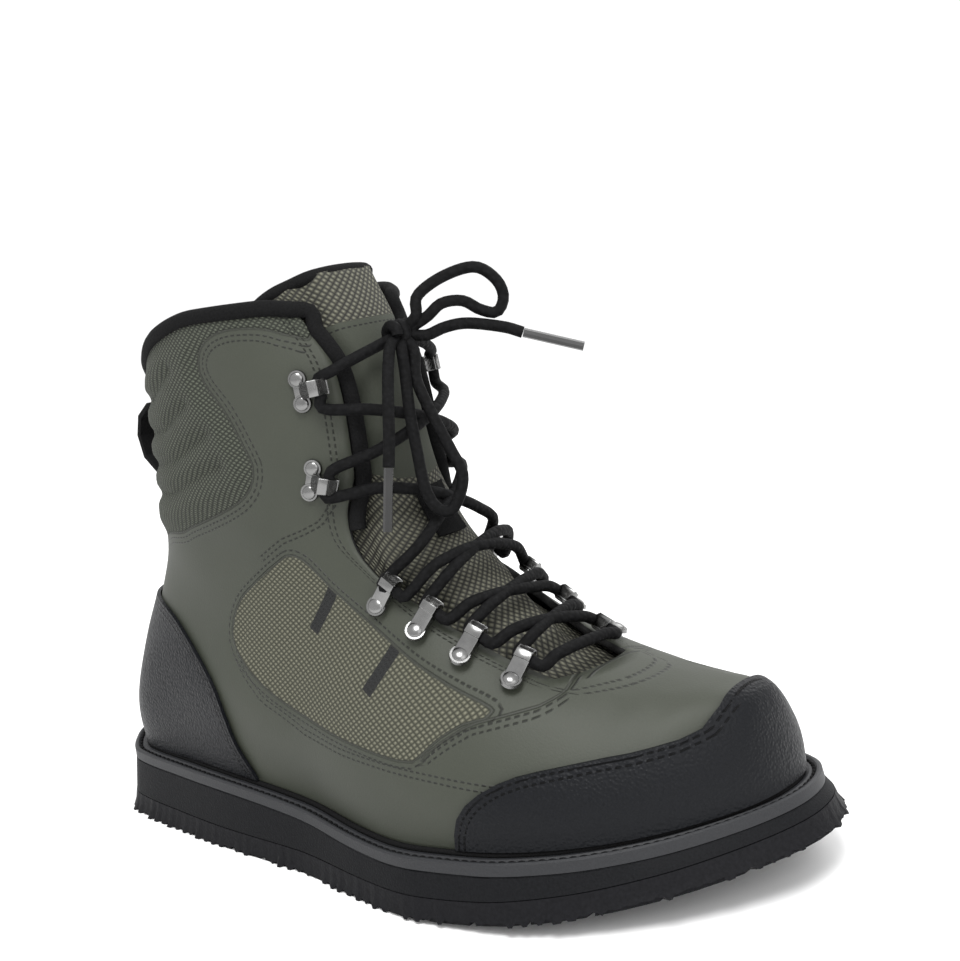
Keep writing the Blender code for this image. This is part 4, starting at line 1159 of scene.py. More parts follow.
def loop_point(number, side, end):
    """Return the lace's place below, in or above a loop, for end -1, 0 or 1."""
    level, setback, half = loop_stop(number)
    at = level_along(level, end * half, side, setback)
    return at, throat_edge(at, side, setback)


def through(number, side, ends):
    """Return the lace's places on its way through one loop."""
    return [off_last(*loop_point(number, side, end), LACE_HEIGHT) for end in ends]


def lifted(low, high, lift):
    """Return a strand between two places, lifted at its middle."""
    points = np.array(strand(low, high))
    out = directions(*low)[0] + directions(*high)[0]
    rise = np.sin(np.linspace(0, pi, len(points)))[:, None]
    return list((points + out / np.linalg.norm(out) * rise * lift)[1:-1])


TOP_LOOP = len(EYELETS) + len(HOOKS) - 1
knot_place = (KNOT_LEVEL, 0.0)
CROSS_LIFT = 0.0022
CROSS_DIP = -0.0002
route = [off_last(*knot_place, KNOT_STAND)]
side = -1
for number in range(TOP_LOOP, -1, -1):
    if number == TOP_LOOP:
        route += lifted(knot_place, loop_point(number, side, 1), 0.0)[1:]
    route += through(number, side, (1, 0, -1))
    if number:
        route += lifted(loop_point(number, side, -1), loop_point(number - 1, -side, 1),
                        CROSS_LIFT if side < 0 else CROSS_DIP)
        side = -side
route += lifted(loop_point(0, side, -1), loop_point(0, -side, -1), 0.0)
side = -side
for number in range(0, TOP_LOOP + 1):
    route += through(number, side, (-1, 0, 1))
    if number < TOP_LOOP:
        route += lifted(loop_point(number, side, 1), loop_point(number + 1, -side, -1),
                        CROSS_LIFT if side < 0 else CROSS_DIP)
        side = -side
route += lifted(loop_point(TOP_LOOP, side, 1), knot_place, 0.0)
route += [off_last(*knot_place, KNOT_STAND)]
lace_route = smooth_path(route, LACE_STEP)
print("lace between the knot's sides:", round(float(arc_lengths(lace_route)[-1]), 3), "m")

# %% [markdown]
# A tube is a circle that is extruded along its path. Each new ring is turned to face the next
# point, and an even spacing keeps the braid even.

# %% Draw round cords
CORD_STEP = 0.002


def cord_tube(points, diameter, sides=10):
    """Return a closed round tube along points, turned as little as possible on its way."""
    points = [Vector(point) for point in points]
    before, after = [points[0]] + points[:-1], points[1:] + [points[-1]]
    tangents = [(b - a).normalized() for a, b in zip(before, after)]
    bm = bmesh.new()
    upright = Vector((0, 0, 1)) if abs(tangents[0].z) < 0.9 else Vector((1, 0, 0))
    across = tangents[0].cross(upright).normalized()
    made = bmesh.ops.create_circle(bm, cap_ends=False, segments=sides, radius=diameter / 2)["verts"]
    outline = [vert.co.copy() for vert in made]
    edges = list({edge for vert in made for edge in vert.link_edges})
    ring_verts = made
    bmesh.ops.edgeloop_fill(bm, edges=edges)
    for index, (point, tangent) in enumerate(zip(points, tangents)):
        across = (across - tangent * across.dot(tangent)).normalized()
        second = tangent.cross(across)
        if index:
            grown = bmesh.ops.extrude_edge_only(bm, edges=edges)["geom"]
            new_verts = [item for item in grown if isinstance(item, bmesh.types.BMVert)]
            edges = [item for item in grown if isinstance(item, bmesh.types.BMEdge)
                     and all(vert in new_verts for vert in item.verts)]
            ring_verts = new_verts
        for vert, corner in zip(ring_verts, outline):
            vert.co = point + across * corner.x + second * corner.y
    bmesh.ops.edgeloop_fill(bm, edges=edges)
    bmesh.ops.recalc_face_normals(bm, faces=bm.faces[:])
    return bm


lacing = finished("lacing", cord_tube(lace_route, LACE_DIAMETER), "lace_cord", LACE.material)
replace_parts(lacing, "lace_bar", "lace_cross_1", "lace_cross_2", "lace_cross_3",
            "lace_cross_4", "lace_cross_5")
print("lacing:", len(lacing.data.polygons), "faces")

# %% [markdown]
# The knot is a few tight turns of the same lace, and the bow's loops and ends leave it. They hang
# free, and each is drawn as a round curve along its path.

# %% Knot, bow and lace ends
knot_centre = Vector(off_last(*knot_place, KNOT_STAND))
COIL_TURNS, COIL_RADIUS, COIL_WIDTH = 2.6, 0.0035, 0.0105
COIL_STEP = 0.0014
KNOT_SHARE = 0.35
coil = []
for share in np.linspace(0, 1, 30):
    angle = share * COIL_TURNS * 2 * pi
    turn = (COIL_RADIUS * cos(angle), (share - 0.5) * COIL_WIDTH, COIL_RADIUS * sin(angle))
    coil.append(knot_centre + Vector(turn))
coil_tube = cord_tube(smooth_path(coil, COIL_STEP), LACE_DIAMETER)
knot = finished("knot", coil_tube, "lace_cord", LACE.material)
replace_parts(knot, "lace_knot")

for name, points in BOW.items():
    ends = [Vector(points[0]) * KNOT_SHARE] + [Vector(point) for point in points]
    if name not in TIPS:
        ends.append(Vector(points[-1]) * KNOT_SHARE)
    path = np.array(smooth_path([knot_centre + point for point in ends], CORD_STEP))
    path = path - np.array(ORIGIN)
    curve = bpy.data.curves.new(name + "_lace", "CURVE")
    curve.dimensions = "3D"
    curve.bevel_depth = LACE_DIAMETER / 2
    curve.bevel_resolution = 4
    curve.use_fill_caps = True
    spline = curve.splines.new("POLY")
    spline.points.add(len(path) - 1)
    for place, point in zip(spline.points, path):
        place.co = (*point, 1.0)
    curve.materials.append(LACE.material)
    piece = linked(name + "_lace", curve)
    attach(piece, BODY)
    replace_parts(piece, name)

# %% [markdown]
# ## The upper's panels
# The upper is sewn from olive synthetic leather with two kinds of mesh: a window low on each
# side, and a padded, quilted panel behind the ankle. Borders are written in the side view, as
# length and height, and each point of the upper stores how far it lies from them. Two short dark
# tabs strengthen the window's top edge.

# %% Panel borders, in metres along the sole and above the floor
WINDOW = rounded((
    (0.141, 0.116), (0.128, 0.108), (0.114, 0.097), (0.110, 0.083), (0.124, 0.070), (0.148, 0.060),
    (0.187, 0.053), (0.206, 0.052), (0.212, 0.058), (0.221, 0.064), (0.231, 0.067), (0.213, 0.075),
    (0.192, 0.085), (0.163, 0.102), (0.148, 0.115)))
ANKLE = rounded((
    (0.000, 0.260), (0.160, 0.260), (0.158, 0.199), (0.1536, 0.1945), (0.143, 0.1985), (0.129, 0.1992),
    (0.119, 0.1955), (0.114, 0.188), (0.116, 0.180), (0.1235, 0.170), (0.130, 0.156), (0.1322, 0.148),
    (0.127, 0.139), (0.114, 0.1325), (0.090, 0.125), (0.072, 0.121), (0.000, 0.118)))
QUILTS = (
    ((0.030, 0.168), (0.076, 0.175), (0.096, 0.186)),
    ((0.030, 0.155), (0.083, 0.163), (0.103, 0.173)),
    ((0.030, 0.143), (0.088, 0.151), (0.112, 0.162)),
    ((0.030, 0.131), (0.082, 0.138), (0.116, 0.150)),
)
SIDE_SEAM = ((0.111, 0.079), (0.118, 0.071), (0.1276, 0.0628), (0.150, 0.0538),
             (0.172, 0.0505), (0.194, 0.0488), (0.215, 0.0474), (0.240, 0.0452))
VAMP_SEAM = ((0.208, 0.0530), (0.216, 0.0590), (0.224, 0.0640), (0.244, 0.0682),
             (0.2477, 0.0710), (0.245, 0.076))
BRACE_SEAM = ((0.166, 0.137), (0.1578, 0.1259), (0.150, 0.1225), (0.1411, 0.1195), (0.129, 0.112))
TABS = (
    ((0.1640, 0.1100), (0.1512, 0.0888), 0.0048),
    ((0.1935, 0.0920), (0.1814, 0.0712), 0.0048),
)
print("points of the borders of window and ankle:", len(WINDOW), len(ANKLE))

# %% [markdown]
# Cloth over foam swells between its seams. The same distances move the points: a pad rises inside
# the ankle panel and sinks along its quilting, the window lies a little lower than the leather
# round it, and shallow troughs cross the vamp where the boot bends.

# %% Build the upper
PAD_RISE = 0.0022
QUILT_DEPTH = 0.0022
QUILT_SPREAD = 0.0026
CREASE_DEPTH = 0.0007
CREASES = ((0.262, 0.10), (0.276, 0.06))
WINDOW_DEPTH = 0.0006
RIPPLE = 0.00035


def build_upper_sheet():
    """Return the dense outer surface with its stored distances."""
    bm = upper_sheet(0, len(RINGS) - 1)
    bm.verts.ensure_lookup_table()
    spots = np.array([vert.co for vert in bm.verts])
    view = spots[:, [0, 2]]
    run_layer = bm.verts.layers.float["run"]
    level_layer = bm.verts.layers.float["level"]
    runs = np.array([vert[run_layer] for vert in bm.verts])
    levels = np.array([vert[level_layer] for vert in bm.verts])
    height = levels * COLLAR_HEIGHT
    open_part = levels >= THROAT_START
    sides = np.where(spots[:, 1] < 0, -1, 1)
    edge_places = np.linspace(0.3, 1.0, 71)
    edge_runs = {s: np.array([throat_run(level, s) for level in edge_places]) for s in (-1, 1)}
    edge = np.array([np.interp(level, edge_places, edge_runs[s]) for level, s in zip(levels, sides)])
    stay = np.where(open_part, runs - edge,
                    np.hypot(np.maximum(runs - edge, 0), (THROAT_START - levels) * COLLAR_HEIGHT * 1.3))
    stay_run = np.zeros(len(levels))
    for s in (-1, 1):
        line = [on_last(level, throat_run(level, s) * s) for level in edge_places]
        walked = np.interp(levels, edge_places, arc_lengths(line))
        stay_run = np.where(sides == s, np.where(open_part, walked, runs - edge), stay_run)
    found = {"rise": height, "run": runs, "stay": stay, "stay_run": stay_run}
    found["window"], found["window_run"] = border_distance(view, WINDOW)
    found["ankle"], found["ankle_run"] = border_distance(view, ANKLE)
    found["side_seam"], found["side_seam_run"] = border_distance(view, SIDE_SEAM, closed=False)
    found["vamp_seam"], found["vamp_seam_run"] = border_distance(view, VAMP_SEAM, closed=False)
    found["brace_seam"], found["brace_seam_run"] = border_distance(view, BRACE_SEAM, closed=False)
    quilt_distances = [border_distance(view, quilt, closed=False)[0] for quilt in QUILTS]
    found["quilt"] = np.min(np.abs(quilt_distances), axis=0)
    pad = smooth_step(-found["ankle"] / 0.008) * PAD_RISE * smooth_step((1 - levels) * 20)
    quilting = np.exp(-(found["quilt"] / QUILT_SPREAD) ** 2) * QUILT_DEPTH
    quilting = quilting * smooth_step(-found["ankle"] / 0.004)
    window = smooth_step(-found["window"] / 0.0025) * WINDOW_DEPTH
    creases = np.zeros(len(levels))
    for centre, slope in CREASES:
        line = spots[:, 0] - centre - slope * np.abs(spots[:, 1])
        creases += np.exp(-(line / 0.004) ** 2) * smooth_step((spots[:, 2] - 0.052) / 0.015)
    ripple = np.sin(spots[:, 0] * 95 + spots[:, 2] * 60) * np.sin(spots[:, 2] * 120) * RIPPLE
    bm.normal_update()
    move = pad - quilting - window - creases * CREASE_DEPTH + ripple
    for vert, normal, amount in zip(bm.verts, [vert.normal.copy() for vert in bm.verts], move):
        vert.co += normal * amount
    for name, values in found.items():
        set_values(bm, name, values)
    return bm


print("pad behind the ankle:", PAD_RISE, "m high, creases over the toes:", len(CREASES))

# %% [markdown]
# ## Leather and mesh in one material
# The upper is one piece of mesh, so its material chooses leather, ankle cloth or window mesh by
# the stored distances. Each cloth is a weave of two crossing waves, pale threads over a dark
# ground, at its real pitch. The rows of stitches follow the seams as dashes.

# %% Upper finish
OLIVE_DARK = (0.031, 0.035, 0.025)
OLIVE_LIGHT = (0.042, 0.046, 0.034)
THREAD = (0.006, 0.0065, 0.005)
TAB_TONE = (0.010, 0.0105, 0.0105)
FOLD_TONE = (0.020, 0.021, 0.017)
GRAIN_RELIEF = 0.16
UPPER_RELIEF = 0.0005
PANEL_ROWS = (("window", 0.0020), ("ankle", 0.0022), ("ankle", 0.0042),
              ("stay", 0.0055), ("stay", 0.0076))
SEAM_ROWS = (("side_seam", (-0.0010, 0.0010), SIDE_SEAM),
             ("vamp_seam", (-0.0030, -0.0012), VAMP_SEAM),
             ("brace_seam", (-0.0030, -0.0012), BRACE_SEAM))


def olive_base(finish):
    """Return the olive leather's colour and height."""
    blotch = finish.noise(35, 2.0)
    grain = finish.noise(1300, 2.0)
    tone = finish.mix(blotch, OLIVE_DARK, OLIVE_LIGHT)
    return finish.mix(finish.m("MULTIPLY", grain, 0.30), tone, (0.022, 0.025, 0.018)), grain


UPPER = Finish("olive_upper", roughness=0.58)
leather, grain = olive_base(UPPER)
run = UPPER.value("run")
window = UPPER.value("window")
ankle = UPPER.value("ankle")
place_x, _, place_z = UPPER.axes()
mesh_cross = UPPER.weave(place_x, place_z, 0.0013, 0.0010)
window_cloth = UPPER.mix(UPPER.m("POWER", mesh_cross, 0.7), (0.026, 0.027, 0.018), (0.165, 0.162, 0.118))
ankle_cross = UPPER.weave(run, place_z, 0.0012, 0.0009)
ankle_cloth = UPPER.mix(UPPER.m("POWER", ankle_cross, 0.7), (0.012, 0.014, 0.010), (0.095, 0.104, 0.078))
in_window = UPPER.below(window, -0.0004, 0.0003)
in_ankle = UPPER.below(ankle, 0.0, 0.0003)
tone = UPPER.mix(in_window, leather, window_cloth)
tone = UPPER.mix(in_ankle, tone, ankle_cloth)
in_tabs = 0.0
for start, end, width in TABS:
    in_tabs = UPPER.m("MAXIMUM", in_tabs, UPPER.bar(start, end, width))
in_tabs = UPPER.m("MULTIPLY", in_tabs, in_window)
tone = UPPER.mix(in_tabs, tone, TAB_TONE)
seams = 0.0
for name, offset in PANEL_ROWS:
    row = UPPER.stitches(UPPER.value(name), UPPER.value(name + "_run"), offset)
    seams = UPPER.m("MAXIMUM", seams, row)
for name, offsets, corners in SEAM_ROWS:
    seams = UPPER.m("MAXIMUM", seams, UPPER.sewn(name, offsets, corners))
tone = UPPER.mix(seams, tone, THREAD)
lines = UPPER.m("MAXIMUM", UPPER.band(ankle, 0.0, 0.0005), UPPER.band(window, 0.0, 0.0004))
fold = UPPER.m("MULTIPLY", UPPER.band(UPPER.value("vamp_seam"), 0.0, 0.0004),
               UPPER.band(UPPER.value("vamp_seam_run"), 0.025, 0.0235))
lines = UPPER.m("MAXIMUM", lines, fold)
tone = UPPER.mix(UPPER.m("MULTIPLY", lines, 0.6), tone, FOLD_TONE)
UPPER.colour(tone)
cloth = UPPER.m("MAXIMUM", UPPER.m("MULTIPLY", in_window, mesh_cross),
                UPPER.m("MULTIPLY", in_ankle, ankle_cross))
in_cloth = UPPER.m("MAXIMUM", in_window, in_ankle)
leather_part = UPPER.m("MULTIPLY", UPPER.m("SUBTRACT", 1.0, in_cloth), grain)
relief = UPPER.m("ADD", UPPER.m("MULTIPLY", cloth, 0.9),
                 UPPER.m("MULTIPLY", leather_part, GRAIN_RELIEF))
relief = UPPER.m("SUBTRACT", relief, lines)
relief = UPPER.m("ADD", relief, UPPER.m("MULTIPLY", seams, 0.6))
UPPER.bump(relief, UPPER_RELIEF)
UPPER.roughness(UPPER.m("MULTIPLY_ADD", in_cloth, 0.25, 0.56))

LINING = grained("black_lining", (0.004, 0.004, 0.004), (0.018, 0.018, 0.018), 0.9, 1000, 0.0003)

upper = finished("sewn_upper", build_upper_sheet(), "olive_leather", UPPER.material, LINING.material)
thickened(upper, WALL)
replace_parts(upper, "upper")
print("upper:", len(upper.data.vertices), "points")

# %% [markdown]
# ## Toe cap and heel counter
# Both are pebbled black synthetic leather over the upper, with two rows of stitches inside their
# top edge. The shell is the same sheet, moved out and thickened, and its border is cut by a
# Boolean, which gives a crisp edge that follows the curve of the boot.

# %% Build the overlays
OVERLAY_LIFT = OVERLAY_GAP * 1.6
OVERLAY_FIRST_RING = 3
OVERLAY_SPACING = 0.006
OVERLAY_MARGIN = 0.012
TOE_CAP_LEVEL = 0.36
COUNTER_LEVEL = 0.52
PEBBLE = Finish("pebbled_leather", roughness=0.50, specular=0.13)
pebbles = PEBBLE.cells(1000)
speckle = PEBBLE.noise(2400, 2.0)
shade = PEBBLE.mix(speckle, (0.002, 0.0023, 0.0029), (0.009, 0.0098, 0.012))
border = PEBBLE.value("border")
thread = PEBBLE.m("MAXIMUM", PEBBLE.stitches(border, PEBBLE.value("border_run"), -0.0016),
                  PEBBLE.stitches(border, PEBBLE.value("border_run"), -0.0036))
PEBBLE.colour(PEBBLE.mix(thread, shade, (0.001, 0.001, 0.001)))
pebble_relief = PEBBLE.m("SUBTRACT", PEBBLE.m("MULTIPLY", thread, 1.6), pebbles)
PEBBLE.bump(pebble_relief, 0.0003)
PEBBLE.roughness(PEBBLE.m("MULTIPLY_ADD", pebbles, 0.25, 0.34))


def build_overlay(name, border_table, last_level, node):
    """Build one pebbled overlay just clear of the upper."""
    rows = sum(1 for level in RINGS if level <= last_level)
    bm = upper_sheet(OVERLAY_FIRST_RING, rows)
    bmesh.ops.recalc_face_normals(bm, faces=bm.faces[:])
    bm.normal_update()
    moved = [vert.co + vert.normal * OVERLAY_LIFT for vert in bm.verts]
    for vert, place in zip(bm.verts, moved):
        vert.co = place
    outline = [(x * SOLE_LENGTH, z * COLLAR_HEIGHT) for x, z in border_table]
    path = smooth_path([(x, 0.0, z) for x, z in outline], OVERLAY_SPACING)
    outline = [(point[0], point[2]) for point in path]
    view = np.array([vert.co for vert in bm.verts])[:, [0, 2]]
    distance, along = border_distance(view, outline)
    set_values(bm, "border", distance)
    set_values(bm, "border_run", along)
    far = [vert for vert, gap in zip(bm.verts, distance) if gap > OVERLAY_MARGIN]
    bmesh.ops.delete(bm, geom=far, context="VERTS")
    piece = finished(name, bm, "black_leather", PEBBLE.material)
    thickened(piece, OVERLAY_THICKNESS, 1.0, 0)
    cutter = bmesh.new()
    edges = edge_loop(cutter, [(x, -BALL_WIDTH, z) for x, z in outline])
    face = bmesh.ops.contextual_create(cutter, geom=edges)["faces"]
    grown = bmesh.ops.extrude_face_region(cutter, geom=face)["geom"]
    ends = [item for item in grown if isinstance(item, bmesh.types.BMVert)]
    bmesh.ops.translate(cutter, verts=ends, vec=(0, 2 * BALL_WIDTH, 0))
    bmesh.ops.recalc_face_normals(cutter, faces=cutter.faces[:])
    bmesh.ops.translate(cutter, verts=cutter.verts[:], vec=-ORIGIN)
    mesh = bpy.data.meshes.new(name + "_border")
    cutter.to_mesh(mesh)
    cutter.free()
    tool = linked(name + "_border", mesh)
    cut = piece.modifiers.new("border", "BOOLEAN")
    cut.operation = "INTERSECT"
    cut.solver = "EXACT"
    cut.object = tool
    bpy.context.view_layer.update()
    seen = bpy.context.evaluated_depsgraph_get()
    shaped = bpy.data.meshes.new_from_object(piece.evaluated_get(seen))
    piece.modifiers.clear()
    piece.data = shaped
    shaped.shade_smooth()
    shaped.set_sharp_from_angle(angle=0.8)
    bpy.data.objects.remove(tool)
    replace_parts(piece, node)


build_overlay("pebbled_toe_cap", TOE_CAP, TOE_CAP_LEVEL, "toe_cap")
build_overlay("pebbled_heel_counter", HEEL_COUNTER, COUNTER_LEVEL, "heel_counter")
print("overlays: toe cap and heel counter")

# %% [markdown]
# ## The tongue
# The tongue is padded. Its top carries a strip of mesh with an olive panel below it, and mesh
# shows again between the laces. It is the same grid as the model's solid, with more points.

# %% Build the tongue
TONGUE_PIPING = 0.0052
TONGUE_ROWS = 73
TONGUE_COLUMNS = 49
WING_LEVEL = 0.86
TONGUE = Finish("tongue_cloth", roughness=0.75)
olive, tongue_grain = olive_base(TONGUE)
level_value = TONGUE.value("level")
weave_cross = TONGUE.weave(TONGUE.value("run"), TONGUE.value("rise"), 0.0015, 0.0012)
cloth_tone = TONGUE.mix(TONGUE.m("POWER", weave_cross, 0.7), (0.010, 0.010, 0.008), (0.150, 0.148, 0.110))
panel = TONGUE.m("MULTIPLY", TONGUE.below(level_value, 1.005, 0.001),
                 TONGUE.m("SUBTRACT", 1.0, TONGUE.below(level_value, 0.72, 0.001)))
TONGUE_TONE = TONGUE.mix(panel, cloth_tone, olive)
stitch = TONGUE.stitches(level_value, TONGUE.value("run"), 0.995, width=0.0014)
TONGUE_TONE = TONGUE.mix(stitch, TONGUE_TONE, THREAD)
TONGUE.colour(TONGUE_TONE)
TONGUE.bump(TONGUE.mix(panel, weave_cross, TONGUE.m("MULTIPLY", tongue_grain, 0.2)), 0.0005)


def build_tongue_piece():
    """Build the padded tongue and return its rows of points."""
    rows, runs, rises, tops = [], [], [], []
    for top_level in np.linspace(THROAT_START - TONGUE_TUCK, TONGUE_TOP, TONGUE_ROWS):
        edges = [throat_run(top_level, side) for side in (-1, 1)]
        wing = smooth_step((top_level - WING_LEVEL) / (1 - WING_LEVEL))
        halves = [edge + TONGUE_COVER + wing * (TONGUE_WING - edge - TONGUE_COVER)
                  for edge in edges]
        row = []
        for share in np.linspace(-1, 1, TONGUE_COLUMNS):
            level = drop_to(top_level, share)
            run = share * halves[0 if share < 0 else 1]
            edge = edges[0 if share < 0 else 1]
            free = smooth_step((edge - BINDING_DIAMETER - abs(run)) / 0.010)
            free = free * smooth_step((level - THROAT_START - 0.02) / 0.06)
            row.append(off_last(level, run, -TONGUE_INSET + free * TONGUE_LIFT))
            runs.append(run)
            rises.append(level * COLLAR_HEIGHT)
            tops.append(top_level)
        rows.append(row)
    bm, order = placed_grid(rows)
    for name, values in (("run", runs), ("rise", rises), ("level", tops)):
        set_values(bm, name, np.array(values)[order])
    piece = finished("padded_tongue", bm, "tongue_cloth", TONGUE.material, LINING.material)
    thickened(piece, TONGUE_THICKNESS)
    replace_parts(piece, "tongue")
    return rows


tongue_rows = build_tongue_piece()
inward = Vector(directions(0.98, 0.0)[0]) * TONGUE_THICKNESS / 2
top_edge = smooth_path([Vector(point) - inward for point in tongue_rows[-1][::4]], CORD_STEP)
finished("tongue_piping", cord_tube(top_edge, TONGUE_PIPING, 12), "black_textile", WEBBING.material)
print("tongue:", len(tongue_rows), "rows of points")

# %% [markdown]
# ## Loops and hooks
# Each loop is a strip of steel bent round the lace and riveted to the leather; each hook stands on
# a plate with two rivets. The strips follow the solids' own bends, with more points, and a bevel
# rounds their edges, because polished metal shows mostly by the glints along them.

# %% Build the fittings


def bent_strip(bm, path, thickness, width):
    """Add a bent strip with this side view, its edges rounded."""
    outline = band_outline(path, thickness)
    verts = [bm.verts.new((x, -width / 2, z)) for x, z in outline]
    face = bmesh.ops.contextual_create(bm, geom=verts)["faces"]
    grown = bmesh.ops.extrude_face_region(bm, geom=face)["geom"]
    ends = [item for item in grown if isinstance(item, bmesh.types.BMVert)]
    bmesh.ops.translate(bm, verts=ends, vec=(0, width, 0))
    sides = list({edge for vert in verts + ends for edge in vert.link_edges})
    bmesh.ops.recalc_face_normals(bm, faces=bm.faces[:])
    rims = [edge for edge in sides if len(edge.link_faces) == 2 and edge.calc_face_angle(0.0) > 0.7]
    bmesh.ops.bevel(bm, geom=rims, offset=thickness * 0.35, segments=2, profile=0.5,
                    affect="EDGES", material=-1)


def metal_rivet(bm, place, diameter, base):
    """Add a low rivet: a washer with a domed head."""
    washer = Matrix.Translation((*place, base + RIVET_HEIGHT * 0.25))
    bmesh.ops.create_cone(bm, cap_ends=True, segments=28, radius1=diameter / 2,
                          radius2=diameter * 0.46, depth=RIVET_HEIGHT * 0.5, matrix=washer)
    dome = Matrix.Translation((*place, base + RIVET_HEIGHT * 0.45))
    dome = dome @ Matrix.Diagonal((1.0, 1.0, 0.42, 1.0))
    bmesh.ops.create_uvsphere(bm, u_segments=28, v_segments=12, radius=diameter * 0.37, matrix=dome)


def build_fitting(name, place, bands, rivets):
    """Build one fitting from its strips and rivets."""
    bm = bmesh.new()
    for path, width in bands:
        part = bmesh.new()
        bent_strip(part, path, METAL_THICKNESS, width)
        mesh = bpy.data.meshes.new("part")
        part.to_mesh(mesh)
        part.free()
        bm.from_mesh(mesh)
        bpy.data.meshes.remove(mesh)
    for centre, diameter, base in rivets:
        metal_rivet(bm, centre, diameter, base)
    bmesh.ops.transform(bm, matrix=place, verts=bm.verts[:])
    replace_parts(finished(name + "_look", bm, "gunmetal", METAL.material, smooth_angle=0.9), name)


LOOP_RADIUS = LACE_DIAMETER / 2 + LACE_PLAY + METAL_THICKNESS / 2
for side, word in ((-1, "lateral"), (1, "medial")):
    for number, level in enumerate(EYELETS, 1):
        floor_z = METAL_GAP + METAL_THICKNESS / 2
        tail = -EYELET_TAIL / 2
        head = tail + EYELET_TAIL - LOOP_RADIUS
        path = [(tail, floor_z)]
        path += bend((head, floor_z + LOOP_RADIUS), LOOP_RADIUS, -0.5, 0.5, 18)
        path += [(head - LOOP_RADIUS, floor_z + 1.6 * LOOP_RADIUS),
                 (tail, floor_z + METAL_THICKNESS * 1.3)]
        place = fitting_place(level, side, EYELET_TAIL / 2 - EYELET_REACH)
        head_rivet = ((tail, 0.0), RIVET_DIAMETER, METAL_GAP + METAL_THICKNESS)
        build_fitting(f"eyelet_{word}_{number}", place, [(path, EYELET_WIDTH)], [head_rivet])
    for number, level in enumerate(HOOKS, 1):
        floor_z = HOOK_GAP + METAL_THICKNESS / 2
        reach = HOOK_REACH - LOOP_RADIUS
        path = [(0.0, floor_z), (reach, floor_z)]
        path += bend((reach, floor_z + LOOP_RADIUS), LOOP_RADIUS, -0.4, 0.5, 16)
        path += [(reach - HOOK_REACH * 0.3, floor_z + 2 * LOOP_RADIUS + HOOK_FLARE)]
        half = HOOK_RIVET_SPREAD / 2
        plate = [(-HOOK_WIDTH * 0.35, floor_z), (HOOK_WIDTH * 0.35, floor_z)]
        rivets = [((0.0, across), HOOK_WIDTH * 1.15, HOOK_GAP) for across in (-half, half)]
        build_fitting(f"lace_hook_{word}_{number}", fitting_place(level, side, HOOK_SETBACK),
                      [(path, HOOK_WIDTH), (plate, 2 * half)], rivets)
print("loops and hooks ready")

# %% [markdown]
# ## The sole's edge
# The sole is cut from moulded sheet, so its edge runs through the tread's cells and comes out
# ragged. The midsole is foam with a cut face, and the grey strip above it carries a sewn seam in
# its groove. A cord closes the joint between the strip and the upper.

# %% Build the sole's edge
RAGGED_PITCH = 0.0052
RAGGED_OUT = 0.0016
RIM_PLAY = 0.0001
MIDSOLE_BAND = 0.016
OUTLINE_POINTS = 360
STITCH_PITCH = 0.0034
STITCH_LENGTH = 0.0026
RAND_CORD = 0.0022


def sole_ring(inset, height, count=OUTLINE_POINTS):
    """Return the sole's outline at this inset and height, as points."""
    return np.array([on_sole(x, y, height(x)) for x, y in plan_outline(inset, count)])


def ring_mesh(rings):
    """Bridge closed rings of points into one closed band."""
    bm = bmesh.new()
    loops = [edge_loop(bm, [tuple(point) for point in points]) for points in rings]
    for first, second in zip(loops, loops[1:] + loops[:1]):
        bmesh.ops.bridge_loops(bm, edges=first + second)
    bmesh.ops.recalc_face_normals(bm, faces=bm.faces[:])
    return bm


seam = SOLE_FLARE * OUTSOLE_THICKNESS / HEEL_HEIGHT
low_out = sole_ring(-0.0002, lambda x: 0.0)
length_round = arc_lengths(low_out)
tooth = (length_round / RAGGED_PITCH) % 1.0
chosen = np.sin(np.floor(length_round / RAGGED_PITCH) * 12.9898) * 43758.5453
chosen = chosen - np.floor(chosen)
jag = np.where(tooth < 0.5, chosen, 0.25 * chosen) + 0.5 * np.abs(tooth - 0.5)
outward = sole_ring(-RAGGED_OUT, lambda x: 0.0) - low_out
middle = sole_ring(seam * 0.5 - 2 * RIM_PLAY, lambda x: OUTSOLE_THICKNESS * 0.40)
lift = (1 - jag) * RAGGED_OUT * (jag < 0.45)
lifted_teeth = np.column_stack([0 * jag, 0 * jag, lift])
rim = ring_mesh((
    sole_ring(seam - 0.0002, lambda x: OUTSOLE_THICKNESS - FIT),
    middle + outward * (jag * 0.35)[:, None],
    low_out + outward * jag[:, None] + lifted_teeth,
    sole_ring(0.0030, lambda x: 0.0),
    sole_ring(0.0030, lambda x: OUTSOLE_THICKNESS - FIT)))
finished("ragged_rim", rim, "rubber", OUTSOLE_RUBBER.material, smooth_angle=0.35)

midsole_rings = (
    (seam - RIM_PLAY, lambda x: OUTSOLE_THICKNESS),
    (SOLE_FLARE - 2 * RIM_PLAY, lambda x: midsole_top(x) - 0.0004),
    (SOLE_FLARE + 0.0004, midsole_top), (MIDSOLE_BAND, midsole_top),
    (MIDSOLE_BAND, lambda x: OUTSOLE_THICKNESS))
finished("foam_midsole", ring_mesh([sole_ring(inset, height) for inset, height in midsole_rings]),
         "foam", MIDSOLE_FOAM.material, smooth_angle=0.6)

